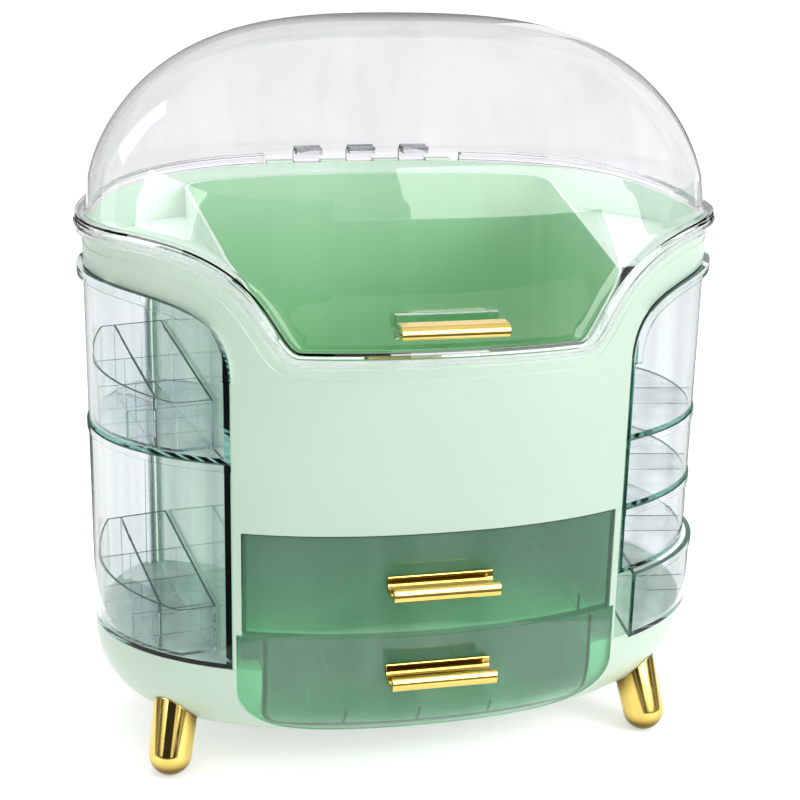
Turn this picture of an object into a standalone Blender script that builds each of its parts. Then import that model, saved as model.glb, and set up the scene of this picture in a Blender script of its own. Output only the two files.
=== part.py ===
"""Dustproof makeup organizer: an oval mint tower on four splayed feet, with a clear domed lid,
two tinted drawers, two clear swing-out rack units on the left and four swing-out trays on the right.

Metres, +Z up, front towards -Y. The floor is z = 0 and the origin lies under the middle of the whole."""
import math

import bmesh
import bpy
import numpy as np
from mathutils import Matrix, Vector

MM = 0.001

# Fits between pieces
SEAT_GAP = 0.3 * MM
RUN_GAP = 0.6 * MM
OVERRUN = 12 * MM
FAR = 300 * MM
WELD = 0.005 * MM
HALVINGS = 40

# Oval plan of the body, a superellipse
BODY_HALF_WIDTH = 184 * MM
BODY_HALF_DEPTH = 113 * MM
OVAL_POWER = 2.17
SHELL_WALL = 2.4 * MM
FRONT_STATION_SHARES = (0, 0.15, 0.29, 0.38, 0.43, 0.475, 0.51, 0.545, 0.585, 0.64, 0.72, 0.81, 0.9, 0.965)
REAR_STATION_SHARES = (0.985, 0.93, 0.85, 0.75, 0.62, 0.47, 0.31, 0.15)

# Base bowl and feet
BASE_BOTTOM_Z = 20 * MM
BASE_TOP_Z = 75.8 * MM
BASE_RIM_DEPTH = 5 * MM
BASE_ROUND_INSET = 60 * MM
BASE_ROUND_POWER = 2.2
BASE_WALL = 5.6 * MM
BASE_FLOOR = 3 * MM
BASE_ROUND_STEPS = 6
FOOT_RADIUS = 14 * MM
FOOT_TIP_RADIUS = 12.6 * MM
FOOT_INSET_X = 37 * MM
FOOT_INSET_Y = 48 * MM
FOOT_X = BODY_HALF_WIDTH - FOOT_INSET_X
FOOT_Y = BODY_HALF_DEPTH - FOOT_INSET_Y
FOOT_SPLAY = math.radians(10)
FOOT_RAKE = math.radians(18)
FOOT_LENGTH = 62 * MM
FOOT_SIDES = 20
FOOT_SOLE_DEPTH = 0.9 * MM
FOOT_ROUND_STEPS = 6

# Tower walls, seen in plan
TOWER_FRONT_HALF_WIDTH = 113 * MM
TOWER_FLARE = 27 * MM
TOWER_REAR_HALF_WIDTH = TOWER_FRONT_HALF_WIDTH + TOWER_FLARE
POST_WIDTH = 4.5 * MM
PANEL_BOTTOM_Z = 159.3 * MM
TOWER_GAP_Z = 0.3 * MM

# Lower edge of the mint band over the side units, as a curve of x and z
ARCH_FOOT_Z = 246 * MM
ARCH_PULL_Z = 283 * MM
ARCH_SHOULDER_IN = 44 * MM
ARCH_SHOULDER_X = BODY_HALF_WIDTH - ARCH_SHOULDER_IN
ARCH_SHOULDER_Z = 288 * MM
ARCH_SIDE_Z = 292 * MM
CURVE_STEPS = 9

# Lower edge of the lid's rim, as a curve of x and z
RIM_FRONT_Z = 255.5 * MM
RIM_SIDE_Z = 312 * MM
RIM_REAR_Z = 325 * MM
RIM_FLAT_IN = 37 * MM
RIM_PULL_IN = 13 * MM
RIM_RISE_IN = 21 * MM
RIM_FLAT_X = TOWER_FRONT_HALF_WIDTH - RIM_FLAT_IN
RIM_PULL_X = TOWER_FRONT_HALF_WIDTH - RIM_PULL_IN
RIM_RISE_X = TOWER_FRONT_HALF_WIDTH - RIM_RISE_IN
RIM_RISE_Z = 308 * MM
RIM_SIDE_IN = 24 * MM
RIM_SIDE_X = BODY_HALF_WIDTH - RIM_SIDE_IN

# Lid
LID_WALL = 2.2 * MM
LID_FLANGE_REACH = 4.5 * MM
LID_FLANGE_HEIGHT = 9.2 * MM
LID_PROFILE_SHARES = ((0.04, 0), (0, 0.4), (0.2, 0.5), (0.06, 0.62), (0.16, 0.94), (0.8, 1), (1, 1.2))
BURIED_SHARE = 0.8
LID_FOOT_INSET = 2.5 * MM
BODY_TOP_RISE = 3.2 * MM
BAND_STEP_DROP = 8 * MM
BAND_STEP_DEPTH = 0.8 * MM
DOME_WALL_RISE = 15 * MM
DOME_SHAPE_Z = RIM_REAR_Z
DOME_SPRING_Z = DOME_SHAPE_Z + DOME_WALL_RISE
DOME_TOP_Z = 428.5 * MM
DOME_SIDE_POWER = 3.03
DOME_RISE_POWER = 1.74
DOME_SHALLOW_SHARE = 0.1
DOME_LEAN = 9.7 * MM
DOME_RISE_SHARES = (0.0, 0.19, 0.38, 0.56, 0.73, 0.87, 0.965)
DOME_WALL_RINGS = 1
LID_SWING = math.radians(100)

# Lid hinge
HINGE_BEHIND = 8.5 * MM
HINGE_BARREL_RADIUS = 4 * MM
HINGE_PIN_RADIUS = 1.5 * MM
HINGE_BORE_RADIUS = 1.58 * MM
HINGE_HALF_LENGTH = 61 * MM
HINGE_KNUCKLES = 7
HINGE_KNUCKLE_GAP = 0.8 * MM
HINGE_LEAF = 3.2 * MM
HINGE_NOTCH_MARGIN = 3 * MM
HINGE_SIDES = 16

# Lid handle: a clear shelf with a gold bar clipped on its edge
LID_SHELF_RISE = 24 * MM
LID_SHELF_Z = RIM_FRONT_Z + LID_SHELF_RISE
LID_SHELF_THICKNESS = 2.4 * MM
LID_SHELF_REACH = 16 * MM
LID_SHELF_FRONT_Y = -BODY_HALF_DEPTH - LID_SHELF_REACH
LID_TAB_WIDTH = 56 * MM
LID_TAB_HEIGHT = 13 * MM
LID_TAB_THICKNESS = 3 * MM
LID_TAB_RISE = 4.4 * MM
LID_BAR_WIDTH = 58 * MM
LID_BAR_HEIGHT = 7.6 * MM
LID_BAR_DEPTH = 12 * MM

# Gold ledge pulls
PULL_WIDTH = 60 * MM
PULL_PLATE = 2 * MM
PULL_PLATE_RISE = 9.2 * MM
PULL_REACH = 19.5 * MM
PULL_LIP_HEIGHT = 8.2 * MM
PULL_LIP_DEPTH = 3.6 * MM
PULL_TROUGH_WALL = 2 * MM
PULL_TROUGH_CORNER = 4 * MM
UPPER_PULL_Z = 126.8 * MM
LOWER_PULL_Z = 73.5 * MM

# Top tray: the well between two partitions and the side decks
DECK_Z = 300 * MM
DECK_THICKNESS = 2 * MM
WELL_FLOOR_Z = 162.2 * MM
WELL_FLOOR_THICKNESS = 2.2 * MM
WELL_WALL = 2 * MM
WELL_SETBACK = 0.6 * MM
WELL_CORNER = 13 * MM
WELL_FRONT_INSET = 6 * MM
WELL_REAR_SPREAD = 5.5 * MM
WELL_FRONT_HALF_WIDTH = TOWER_FRONT_HALF_WIDTH - WELL_FRONT_INSET
WELL_REAR_HALF_WIDTH = TOWER_FRONT_HALF_WIDTH + WELL_REAR_SPREAD
PARTITION_FRONT_Z = 296 * MM
PARTITION_REAR_Z = 321 * MM
TRAY_RIM_DROP = 0.8 * MM
TRAY_CLEARANCE = 0.4 * MM

# Rails that carry the shelf and the top tray
RAIL_WIDTH = 7 * MM
RAIL_HEIGHT = 2.4 * MM
RAIL_FRONT_IN = 29 * MM
RAIL_REAR_IN = 53 * MM
RAIL_FRONT_Y = RAIL_FRONT_IN - BODY_HALF_DEPTH
RAIL_REAR_Y = BODY_HALF_DEPTH - RAIL_REAR_IN

# Shelf between the drawers
DRAWER_SPLIT_Z = 97.7 * MM
SHELF_TOP_Z = DRAWER_SPLIT_Z - SEAT_GAP / 3
SHELF_THICKNESS = 2.2 * MM
SHELF_SETBACK = 9 * MM
SHELF_REAR_IN = 31 * MM
SHELF_REAR_Y = BODY_HALF_DEPTH - SHELF_REAR_IN

# Drawers
DRAWER_WALL = 2.2 * MM
DRAWER_FLOOR = 2.2 * MM
DRAWER_SETBACK = 0.4 * MM
DRAWER_REAR_IN = 35 * MM
DRAWER_REAR_Y = BODY_HALF_DEPTH - DRAWER_REAR_IN
DRAWER_SIDE_GAP = 0.9 * MM
UPPER_DRAWER_HALF_WIDTH = TOWER_FRONT_HALF_WIDTH - POST_WIDTH - DRAWER_SIDE_GAP
UPPER_DRAWER_BOTTOM_Z = DRAWER_SPLIT_Z + SEAT_GAP
UPPER_DRAWER_TOP_Z = PANEL_BOTTOM_Z - RUN_GAP
UPPER_RIB_IN = 21.6 * MM
UPPER_RIB_X = UPPER_DRAWER_HALF_WIDTH - UPPER_RIB_IN
LOWER_DRAWER_IN = 16.5 * MM
LOWER_DRAWER_HALF_WIDTH = TOWER_FRONT_HALF_WIDTH - LOWER_DRAWER_IN
LOWER_DRAWER_BOTTOM_Z = 38 * MM
LOWER_DRAWER_TOP_GAP = 0.8 * MM
LOWER_DRAWER_TOP_Z = SHELF_TOP_Z - SHELF_THICKNESS - LOWER_DRAWER_TOP_GAP
LOWER_DRAWER_CORNER = 12 * MM
LOWER_PLATE_IN = 2.2 * MM
LOWER_PLATE_HALF_WIDTH = TOWER_FRONT_HALF_WIDTH - LOWER_PLATE_IN
LOWER_PLATE_BOTTOM_Z = 30.5 * MM
LOWER_PLATE_TOP_Z = DRAWER_SPLIT_Z - SEAT_GAP
LOWER_PLATE_CORNER_WIDTH = 56 * MM
LOWER_PLATE_CORNER_HEIGHT = 34 * MM
LOWER_PLATE_THICKNESS = 2.8 * MM
LOWER_PLATE_RELIEF = 0.4 * MM
LOWER_RIB_SHARES = (-0.53, -0.09, 0.35)
RIB_HEIGHT = 10 * MM
RIB_THICKNESS = 1.6 * MM
RUNNER_IN = 34.5 * MM
RUNNER_X = LOWER_DRAWER_HALF_WIDTH - RUNNER_IN
RUNNER_THICKNESS = 2.4 * MM
RUNNER_END_IN = 71 * MM
RUNNER_HALF_LENGTH = BODY_HALF_DEPTH - RUNNER_END_IN
CORNER_STEPS = 6

# Side units and trays
UNIT_WALL = 2.2 * MM
UNIT_FLOOR = 2.2 * MM
UNIT_NOSE_RADIUS = 4.8 * MM
UNIT_HEAD_SPREAD = 2.6 * MM
UNIT_ARC_STEPS = 16
PIVOT_ROD_RADIUS = 1.6 * MM
PIVOT_BORE_RADIUS = 1.95 * MM
PIVOT_SIDES = 12
LEFT_SPLIT_Z = 198.7 * MM
RIGHT_SPLITS_Z = (117 * MM, 157.6 * MM, 199.8 * MM)
TOP_LIP_REACH = 3.6 * MM
TOP_LIP_HEIGHT = 5.5 * MM
TRAY_LIP_REACH = 1 * MM
TRAY_LIP_HEIGHT = 4 * MM
TRAY_RIB_BEHIND_FRONT = 62 * MM
OPEN_TRAY_ANGLE = math.radians(3)

# Lipstick racks
RACK_CLEARANCE = 0.5 * MM
RACK_WALL = 1.4 * MM
RACK_FLOOR = 1.4 * MM
RACK_FRONT = 22 * MM
RACK_REAR_ROOM = 31.6 * MM
RACK_ROWS = 4
RACK_INNER_COLUMN = 27 * MM
RACK_FRONT_HEIGHT = 28 * MM
RACK_REAR_HEIGHT = 45 * MM
RACK_CROSS_FRONT_HEIGHT = 10 * MM
RACK_CROSS_RISE = 7 * MM

MINT = (0.62, 0.84, 0.68, 1.0)
CLEAR = (0.88, 0.93, 0.93, 1.0)
TINT = (0.18, 0.42, 0.28, 1.0)
GOLD = (0.95, 0.68, 0.25, 1.0)
STEEL = (0.72, 0.72, 0.74, 1.0)

# The lid bar reaches furthest forwards and the hinge furthest back
HINGE_Y = BODY_HALF_DEPTH + HINGE_BEHIND
HINGE_Z = RIM_REAR_Z
LID_BAR_FRONT_Y = LID_SHELF_FRONT_Y - LID_BAR_DEPTH / 3
PLAN_SHIFT_Y = -(LID_BAR_FRONT_Y + HINGE_Y + HINGE_BARREL_RADIUS) / 2


def clear_scene():
    for item in list(bpy.data.objects):
        bpy.data.objects.remove(item, do_unlink=True)


def material(name, colour, roughness, metallic=0.0, transmission=0.0):
    made = bpy.data.materials.new(name)
    made.use_nodes = True
    shader = made.node_tree.nodes["Principled BSDF"]
    shader.inputs["Base Color"].default_value = colour
    shader.inputs["Roughness"].default_value = roughness
    shader.inputs["Metallic"].default_value = metallic
    shader.inputs["Transmission Weight"].default_value = transmission
    made.diffuse_color = colour
    return made


def oval(half_width, half_depth, angle):
    c, s = math.cos(angle), math.sin(angle)
    x = half_width * math.copysign(abs(c) ** (2 / OVAL_POWER), c)
    y = half_depth * math.copysign(abs(s) ** (2 / OVAL_POWER), s)
    return x, y


def oval_y(x, inset=0.0):
    """Depth of the oval behind the middle at this x."""
    share = min(abs(x) / (BODY_HALF_WIDTH - inset), 1.0)
    return (BODY_HALF_DEPTH - inset) * (1 - share ** OVAL_POWER) ** (1 / OVAL_POWER)


def station_angles():
    """Angles round the oval, anticlockwise from +X, closer together where the rim rises."""
    rear = [math.acos(s ** (OVAL_POWER / 2)) for s in REAR_STATION_SHARES]
    front = [math.acos(s ** (OVAL_POWER / 2)) for s in FRONT_STATION_SHARES]
    quarter_rear = [0.0] + rear + [math.pi / 2]
    half_rear = quarter_rear + [math.pi - a for a in reversed(quarter_rear[:-1])]
    left_front = [math.pi + a for a in reversed(front)]
    right_front = [2 * math.pi - a for a in front[1:]]
    return half_rear + left_front + right_front


STATIONS = station_angles()


def bezier(p0, p1, p2, p3, steps):
    points = []
    for i in range(steps + 1):
        t = i / steps
        k = ((1 - t) ** 3, 3 * t * (1 - t) ** 2, 3 * t * t * (1 - t), t ** 3)
        points.append(tuple(sum(w * p[j] for w, p in zip(k, (p0, p1, p2, p3))) for j in (0, 1)))
    return points


RIM_CURVE = bezier((RIM_FLAT_X, RIM_FRONT_Z), (RIM_PULL_X, RIM_FRONT_Z),
                   (RIM_RISE_X, RIM_RISE_Z), (RIM_SIDE_X, RIM_SIDE_Z), 4 * CURVE_STEPS)
ARCH_CURVE = bezier((TOWER_FRONT_HALF_WIDTH, ARCH_FOOT_Z), (TOWER_FRONT_HALF_WIDTH, ARCH_PULL_Z),
                    (ARCH_SHOULDER_X, ARCH_SHOULDER_Z), (BODY_HALF_WIDTH, ARCH_SIDE_Z), CURVE_STEPS)


def rim_z(x, y, rise=0.0):
    """Lower edge of the lid's rim, or a line square above it: it dips at the front and climbs behind."""
    if y < 0:
        line = offset_line(RIM_CURVE, rise)
        return float(np.interp(abs(x), [p[0] for p in line], [p[1] for p in line]))
    share = min(y / BODY_HALF_DEPTH, 1.0)
    return RIM_SIDE_Z + rise + (RIM_REAR_Z - RIM_SIDE_Z) * share * share * (3 - 2 * share)


def collection(name):
    made = bpy.data.collections.new(name)
    bpy.context.scene.collection.children.link(made)
    return made


def mesh_object(name, mesh, where):
    made = bpy.data.objects.new(name, mesh)
    where.objects.link(made)
    if where is CUTTERS:
        made.hide_render = True
        made.display_type = "WIRE"
    return made


def from_bmesh(name, bm, where):
    bmesh.ops.recalc_face_normals(bm, faces=bm.faces)
    mesh = bpy.data.meshes.new(name)
    bm.to_mesh(mesh)
    bm.free()
    return mesh_object(name, mesh, where)


def loft(name, rings, where, closed_in_a_ring=False):
    """Skin through rings of equal count. The ends are capped unless the rings close on themselves."""
    bm = bmesh.new()
    rows = [[bm.verts.new(p) for p in ring] for ring in rings]
    pairs = list(zip(rows, rows[1:]))
    if closed_in_a_ring:
        pairs.append((rows[-1], rows[0]))
    for lower, upper in pairs:
        for i in range(len(lower)):
            j = (i + 1) % len(lower)
            bm.faces.new((lower[i], lower[j], upper[j], upper[i]))
    if not closed_in_a_ring:
        bm.faces.new(list(reversed(rows[0])))
        bm.faces.new(rows[-1])
    return from_bmesh(name, bm, where)


def outline_solid(name, points, low, high, where, across="Z"):
    """Flat outline filled and thickened along one axis: X (points are y, z), Y (x, z) or Z (x, y)."""
    curve = bpy.data.curves.new(name, "CURVE")
    curve.dimensions = "2D"
    curve.fill_mode = "BOTH"
    curve.extrude = (high - low) / 2
    line = curve.splines.new("POLY")
    line.points.add(len(points) - 1)
    for spot, point in zip(line.points, points):
        spot.co = (point[0], point[1], 0, 1)
    line.use_cyclic_u = True
    drawn = bpy.data.objects.new(name, curve)
    bpy.context.scene.collection.objects.link(drawn)
    bpy.context.view_layer.update()
    solid = drawn.evaluated_get(bpy.context.evaluated_depsgraph_get())
    mesh = bpy.data.meshes.new_from_object(solid)
    bpy.data.objects.remove(drawn, do_unlink=True)
    middle = (low + high) / 2
    turns = {"Z": Matrix.Translation((0, 0, middle)),
             "Y": Matrix.Translation((0, middle, 0)) @ Matrix.Rotation(math.pi / 2, 4, "X"),
             "X": Matrix.Translation((middle, 0, 0)) @ Matrix(((0, 0, 1, 0), (1, 0, 0, 0),
                                                               (0, 1, 0, 0), (0, 0, 0, 1)))}
    mesh.transform(turns[across])
    bm = bmesh.new()
    bm.from_mesh(mesh)
    bmesh.ops.remove_doubles(bm, verts=bm.verts, dist=WELD)
    bmesh.ops.recalc_face_normals(bm, faces=bm.faces)
    bm.to_mesh(mesh)
    bm.free()
    mesh.name = name
    return mesh_object(name, mesh, where)


def box(name, low, high, where):
    bm = bmesh.new()
    bmesh.ops.create_cube(bm, size=1)
    size = [h - l for l, h in zip(low, high)]
    bmesh.ops.scale(bm, vec=size, verts=bm.verts)
    bmesh.ops.translate(bm, vec=[(l + h) / 2 for l, h in zip(low, high)], verts=bm.verts)
    return from_bmesh(name, bm, where)


def rod(name, start, end, radius, sides, where, end_radius=None):
    """Round bar from one point to another."""
    start, end = Vector(start), Vector(end)
    along = end - start
    bm = bmesh.new()
    bmesh.ops.create_cone(bm, cap_ends=True, segments=sides, radius1=radius,
                          radius2=radius if end_radius is None else end_radius, depth=along.length)
    turn = along.to_track_quat("Z", "Y").to_matrix().to_4x4()
    bmesh.ops.transform(bm, matrix=Matrix.Translation((start + end) / 2) @ turn, verts=bm.verts)
    return from_bmesh(name, bm, where)


def weld(mesh):
    """Join points that lie closer than any fit, which leaves no slivers."""
    bm = bmesh.new()
    bm.from_mesh(mesh)
    bmesh.ops.remove_doubles(bm, verts=bm.verts, dist=WELD)
    bmesh.ops.dissolve_degenerate(bm, edges=bm.edges, dist=WELD)
    bm.to_mesh(mesh)
    bm.free()


def boolean(target, tool, operation="DIFFERENCE"):
    """Boolean worked out at once, with the second solid removed afterwards."""
    step = target.modifiers.new(operation.lower(), "BOOLEAN")
    step.operation = operation
    step.solver = "EXACT"
    step.object = tool
    bpy.context.view_layer.update()
    solid = target.evaluated_get(bpy.context.evaluated_depsgraph_get())
    mesh = bpy.data.meshes.new_from_object(solid)
    weld(mesh)
    target.modifiers.clear()
    target.data = mesh
    bpy.data.objects.remove(tool, do_unlink=True)
    return target


def cut(target, *tools):
    for tool in tools:
        boolean(target, tool)
    return target


def join(target, *tools):
    for tool in tools:
        boolean(target, tool, "UNION")
    return target


def keep_inside(target, tool):
    return boolean(target, tool, "INTERSECT")


def grow(points, distance):
    """Offset a closed anticlockwise outline outwards, with mitred corners."""
    grown = []
    count = len(points)
    for i in range(count):
        before, here, after = (Vector(points[k % count]) for k in (i - 1, i, i + 1))
        first, second = (here - before).normalized(), (after - here).normalized()
        n1, n2 = Vector((first.y, -first.x)), Vector((second.y, -second.x))
        step = (n1 + n2) / (1 + n1.dot(n2)) * distance
        grown.append((here.x + step.x, here.y + step.y))
    return grown


def offset_line(points, distance):
    """Offset an open line to the left of its direction."""
    moved = []
    for i, point in enumerate(points):
        before = Vector(points[max(i - 1, 0)])
        after = Vector(points[min(i + 1, len(points) - 1)])
        along = (after - before).normalized()
        moved.append((point[0] - along.y * distance, point[1] + along.x * distance))
    return moved


def round_corners(points, radius, corners):
    """Round these corners of a closed outline."""
    rounded = []
    count = len(points)
    for i, point in enumerate(points):
        if i not in corners:
            rounded.append(point)
            continue
        before, here, after = (Vector(points[k % count]) for k in (i - 1, i, i + 1))
        start = here + (before - here).normalized() * radius
        end = here + (after - here).normalized() * radius
        for k in range(CORNER_STEPS + 1):
            t = k / CORNER_STEPS
            rounded.append(tuple(start * (1 - t) ** 2 + here * 2 * t * (1 - t) + end * t * t))
    return rounded


def oval_ring(inset, z, stations=STATIONS):
    """Ring of stations at this inset. z is a height or a function of the outer x and y."""
    ring = []
    for angle in stations:
        x, y = oval(BODY_HALF_WIDTH - inset, BODY_HALF_DEPTH - inset, angle)
        outer = oval(BODY_HALF_WIDTH, BODY_HALF_DEPTH, angle)
        ring.append((x, y, z(*outer) if callable(z) else z))
    return ring


def oval_solid(name, inset, low, high, where):
    return loft(name, [oval_ring(inset, low), oval_ring(inset, high)], where)


def above_rim(rise):
    """Everything above the wavy rim, as a wide ring that cuts walls to it."""
    between = [(a + b) / 2 for a, b in zip(STATIONS, STATIONS[1:] + [2 * math.pi])]
    return rim_ring(rise, BODY_HALF_DEPTH / 2, between)


def rim_ring(rise, inner, stations):
    """Ring of space over a line parallel to the rim, from this inset outwards."""
    outer = -BODY_HALF_DEPTH / 4
    top = DOME_TOP_Z + OVERRUN * 2
    low = lambda x, y: rim_z(x, y, rise)
    return loft("above_rim", [oval_ring(inner, low, stations), oval_ring(outer, low, stations),
                              oval_ring(outer, top, stations), oval_ring(inner, top, stations)],
                CUTTERS, closed_in_a_ring=True)


def tower_line(inset=0.0):
    """Outer face of the right tower wall in plan, from its front corner to its rear end."""
    front = Vector((TOWER_FRONT_HALF_WIDTH, -oval_y(TOWER_FRONT_HALF_WIDTH)))
    rear = Vector((TOWER_REAR_HALF_WIDTH, oval_y(TOWER_REAR_HALF_WIDTH)))
    along = (rear - front).normalized()
    inwards = Vector((-along.y, along.x)) * inset
    return front + inwards, rear + inwards


def mirrored(points, side):
    return [(side * x, y) for x, y in points][::side]


def side_bay(side, inset):
    """Space beside the tower that the side units fill, grown by inset into the walls round it."""
    front, rear = tower_line(inset)
    along = (rear - front).normalized()
    near, far = front - along * FAR, rear + along * FAR
    plan = [tuple(near), (near.x + 2 * FAR, near.y), (far.x + 2 * FAR, far.y), tuple(far)]
    arch = offset_line(ARCH_CURVE, inset)
    foot = (arch[0][0], BASE_TOP_Z - OVERRUN)
    outline = [foot] + arch + [(FAR, arch[-1][1]), (FAR, BASE_TOP_Z - OVERRUN)]
    bay = outline_solid("bay", mirrored(outline, side), -FAR, FAR, CUTTERS, "Y")
    reach = outline_solid("bay_plan", mirrored(plan, side), 0, FAR + DOME_TOP_Z, CUTTERS)
    return keep_inside(bay, reach)


def rounded_slot(half_width, low, high, corner, corner_height=None):
    """Outline in x and z with both lower corners rounded, to a circle or an ellipse."""
    height = corner_height or corner
    points = [(-half_width, high), (-half_width, low + height)]
    for centre, start in ((-1, math.pi), (1, 1.5 * math.pi)):
        for i in range(CORNER_STEPS + 1):
            a = start + i / CORNER_STEPS * math.pi / 2
            points.append((centre * (half_width - corner) + corner * math.cos(a),
                           low + height + height * math.sin(a)))
    points += [(half_width, low + height), (half_width, high)]
    kept = [points[0]]
    for point in points[1:]:
        if (Vector(point) - Vector(kept[-1])).length > SEAT_GAP:
            kept.append(point)
    return kept


def plate_rebate():
    """Shallow recess in the oval face that the lower drawer's wide front drops into."""
    profile = rounded_slot(LOWER_PLATE_HALF_WIDTH + RUN_GAP, LOWER_PLATE_BOTTOM_Z - RUN_GAP,
                           UPPER_DRAWER_BOTTOM_Z, LOWER_PLATE_CORNER_WIDTH, LOWER_PLATE_CORNER_HEIGHT)
    space = outline_solid("rebate", profile, -FAR, -BODY_HALF_DEPTH / 2, CUTTERS, "Y")
    depth = LOWER_PLATE_THICKNESS + DRAWER_SETBACK + RUN_GAP
    return cut(space, bowl("rebate_back", depth, depth, DOME_TOP_Z, CUTTERS))


def bowl(name, inset, floor, top, where):
    """Oval bowl, straight at its rim and rounded underneath."""
    side = BASE_TOP_Z - BASE_RIM_DEPTH
    drop = side - BASE_BOTTOM_Z - floor
    rings = []
    for i in range(BASE_ROUND_STEPS, -1, -1):
        a = i / BASE_ROUND_STEPS * math.pi / 2
        inwards = BASE_ROUND_INSET * (1 - math.cos(a) ** (2 / BASE_ROUND_POWER) if i < BASE_ROUND_STEPS else 1)
        rings.append(oval_ring(inset + inwards, side - drop * math.sin(a) ** (2 / BASE_ROUND_POWER)))
    rings.append(oval_ring(inset, top))
    return loft(name, rings, where)


def tower_mouth():
    """Opening in the top of the bowl, under the tower."""
    half = TOWER_FRONT_HALF_WIDTH - RAIL_WIDTH
    return box("mouth", (-half, -BODY_HALF_DEPTH / 2 - OVERRUN * 2, BASE_TOP_Z - BASE_WALL - OVERRUN),
               (half, DRAWER_REAR_Y + SHELL_WALL, BASE_TOP_Z + OVERRUN), CUTTERS)


def drawer_mouth():
    """Opening that the lower drawer slides through, rounded like its tray."""
    profile = rounded_slot(LOWER_DRAWER_HALF_WIDTH + RUN_GAP, LOWER_DRAWER_BOTTOM_Z - RUN_GAP,
                           UPPER_DRAWER_BOTTOM_Z, LOWER_DRAWER_CORNER)
    return outline_solid("drawer_mouth", profile, -FAR, -BODY_HALF_DEPTH / 4, CUTTERS, "Y")


def base_bowl():
    made = bowl("base_bowl", 0, 0, BASE_TOP_Z, PARTS)
    cut(made, bowl("hollow", BASE_WALL, BASE_FLOOR, BASE_TOP_Z - SHELL_WALL, CUTTERS))
    cut(made, tower_mouth(), drawer_mouth(), plate_rebate())
    low, high = BASE_BOTTOM_Z + BASE_FLOOR / 2, LOWER_DRAWER_BOTTOM_Z - SEAT_GAP
    for side in (-1, 1):
        x = side * RUNNER_X
        join(made, box("runner", (x - RUNNER_THICKNESS / 2, -RUNNER_HALF_LENGTH, low),
                       (x + RUNNER_THICKNESS / 2, RUNNER_HALF_LENGTH, high), CUTTERS))
    return made


def turned(name, profile, start, along, sides, where):
    """Solid of revolution. The profile gives radii and distances along the axis."""
    turn = Matrix.Translation(start) @ Vector(along).to_track_quat("Z", "Y").to_matrix().to_4x4()
    rings = []
    for radius, reach in profile:
        ring = []
        for i in range(sides):
            a = (i + 0.5) / sides * 2 * math.pi
            ring.append(turn @ Vector((radius * math.cos(a), radius * math.sin(a), reach)))
        rings.append(ring)
    return loft(name, rings, where)


def foot(name, side, depth):
    """Splayed and raked gold foot: a tapered bar with a rounded tip, flat where it stands, cut to the bowl."""
    lean = Vector((side * math.tan(FOOT_SPLAY), depth * math.tan(FOOT_RAKE), -1)).normalized()
    round_z = FOOT_TIP_RADIUS - FOOT_SOLE_DEPTH
    tip = Vector((side * FOOT_X, depth * FOOT_Y, round_z))
    profile = [(FOOT_RADIUS, -FOOT_LENGTH)]
    for i in range(FOOT_ROUND_STEPS):
        a = i / FOOT_ROUND_STEPS * math.pi / 2
        profile.append((FOOT_TIP_RADIUS * math.cos(a), FOOT_TIP_RADIUS * math.sin(a)))
    made = turned(name, profile, tip, lean, FOOT_SIDES, PARTS)
    cut(made, bowl("foot_seat", -SEAT_GAP, -SEAT_GAP, BASE_TOP_Z + FAR, CUTTERS))
    reach = FOOT_RADIUS * 2
    return cut(made, box("ground", (tip.x - reach, tip.y - reach, -OVERRUN), (tip.x + reach, tip.y + reach, 0),
                         CUTTERS))


def wall_rail(side, top):
    """Rail along the inside of a tower wall."""
    front, rear = tower_line(SHELL_WALL / 2)
    slope = (rear.x - front.x) / (rear.y - front.y)
    at = lambda y: front.x + (y - front.y) * slope
    inner = TOWER_FRONT_HALF_WIDTH - SHELL_WALL - RAIL_WIDTH
    plan = [(inner, RAIL_FRONT_Y), (at(RAIL_FRONT_Y), RAIL_FRONT_Y), (at(RAIL_REAR_Y), RAIL_REAR_Y),
            (inner, RAIL_REAR_Y)]
    return outline_solid("rail", mirrored(plan, side), top - RAIL_HEIGHT, top, CUTTERS)


def knuckle_spans(lid_side):
    """Stretches of x held by the lid's knuckles, or else by the body's."""
    pitch = 2 * HINGE_HALF_LENGTH / HINGE_KNUCKLES
    for i in range(HINGE_KNUCKLES):
        if (i % 2 == 1) == lid_side:
            low = -HINGE_HALF_LENGTH + i * pitch
            yield low + HINGE_KNUCKLE_GAP / 2, low + pitch - HINGE_KNUCKLE_GAP / 2


def barrel(low, high):
    return rod("barrel", (low, HINGE_Y, HINGE_Z), (high, HINGE_Y, HINGE_Z), HINGE_BARREL_RADIUS,
               HINGE_SIDES, CUTTERS)


def body_bracket(low, high):
    """Knuckle on the rear wall, carried by a wedge."""
    wall = oval_y(HINGE_HALF_LENGTH) - OVERRUN / 2
    nose = HINGE_BARREL_RADIUS / 2
    wedge = [(wall, HINGE_Z - 5 * HINGE_BARREL_RADIUS), (HINGE_Y + nose, HINGE_Z - nose),
             (HINGE_Y, HINGE_Z), (wall, HINGE_Z)]
    made = outline_solid("bracket", wedge, low, high, CUTTERS, "X")
    return join(made, barrel(low, high))


def lid_lug(low, high):
    """Knuckle of the lid, with a leaf that rises over the rim to the dome."""
    top = RIM_REAR_Z + LID_FLANGE_HEIGHT
    inner = oval_y(max(abs(low), abs(high)), LID_FOOT_INSET) - LID_WALL * 2 / 3
    front, rear = HINGE_Y - HINGE_LEAF / 4, HINGE_Y + HINGE_LEAF * 3 / 4
    leaf = [(front, HINGE_Z), (rear, HINGE_Z), (rear, top), (front, top + HINGE_LEAF),
            (inner, top + HINGE_LEAF), (inner, top - LID_WALL / 2), (front, top - LID_WALL / 2)]
    made = outline_solid("leaf", leaf, low, high, CUTTERS, "X")
    return join(made, barrel(low, high))


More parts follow.
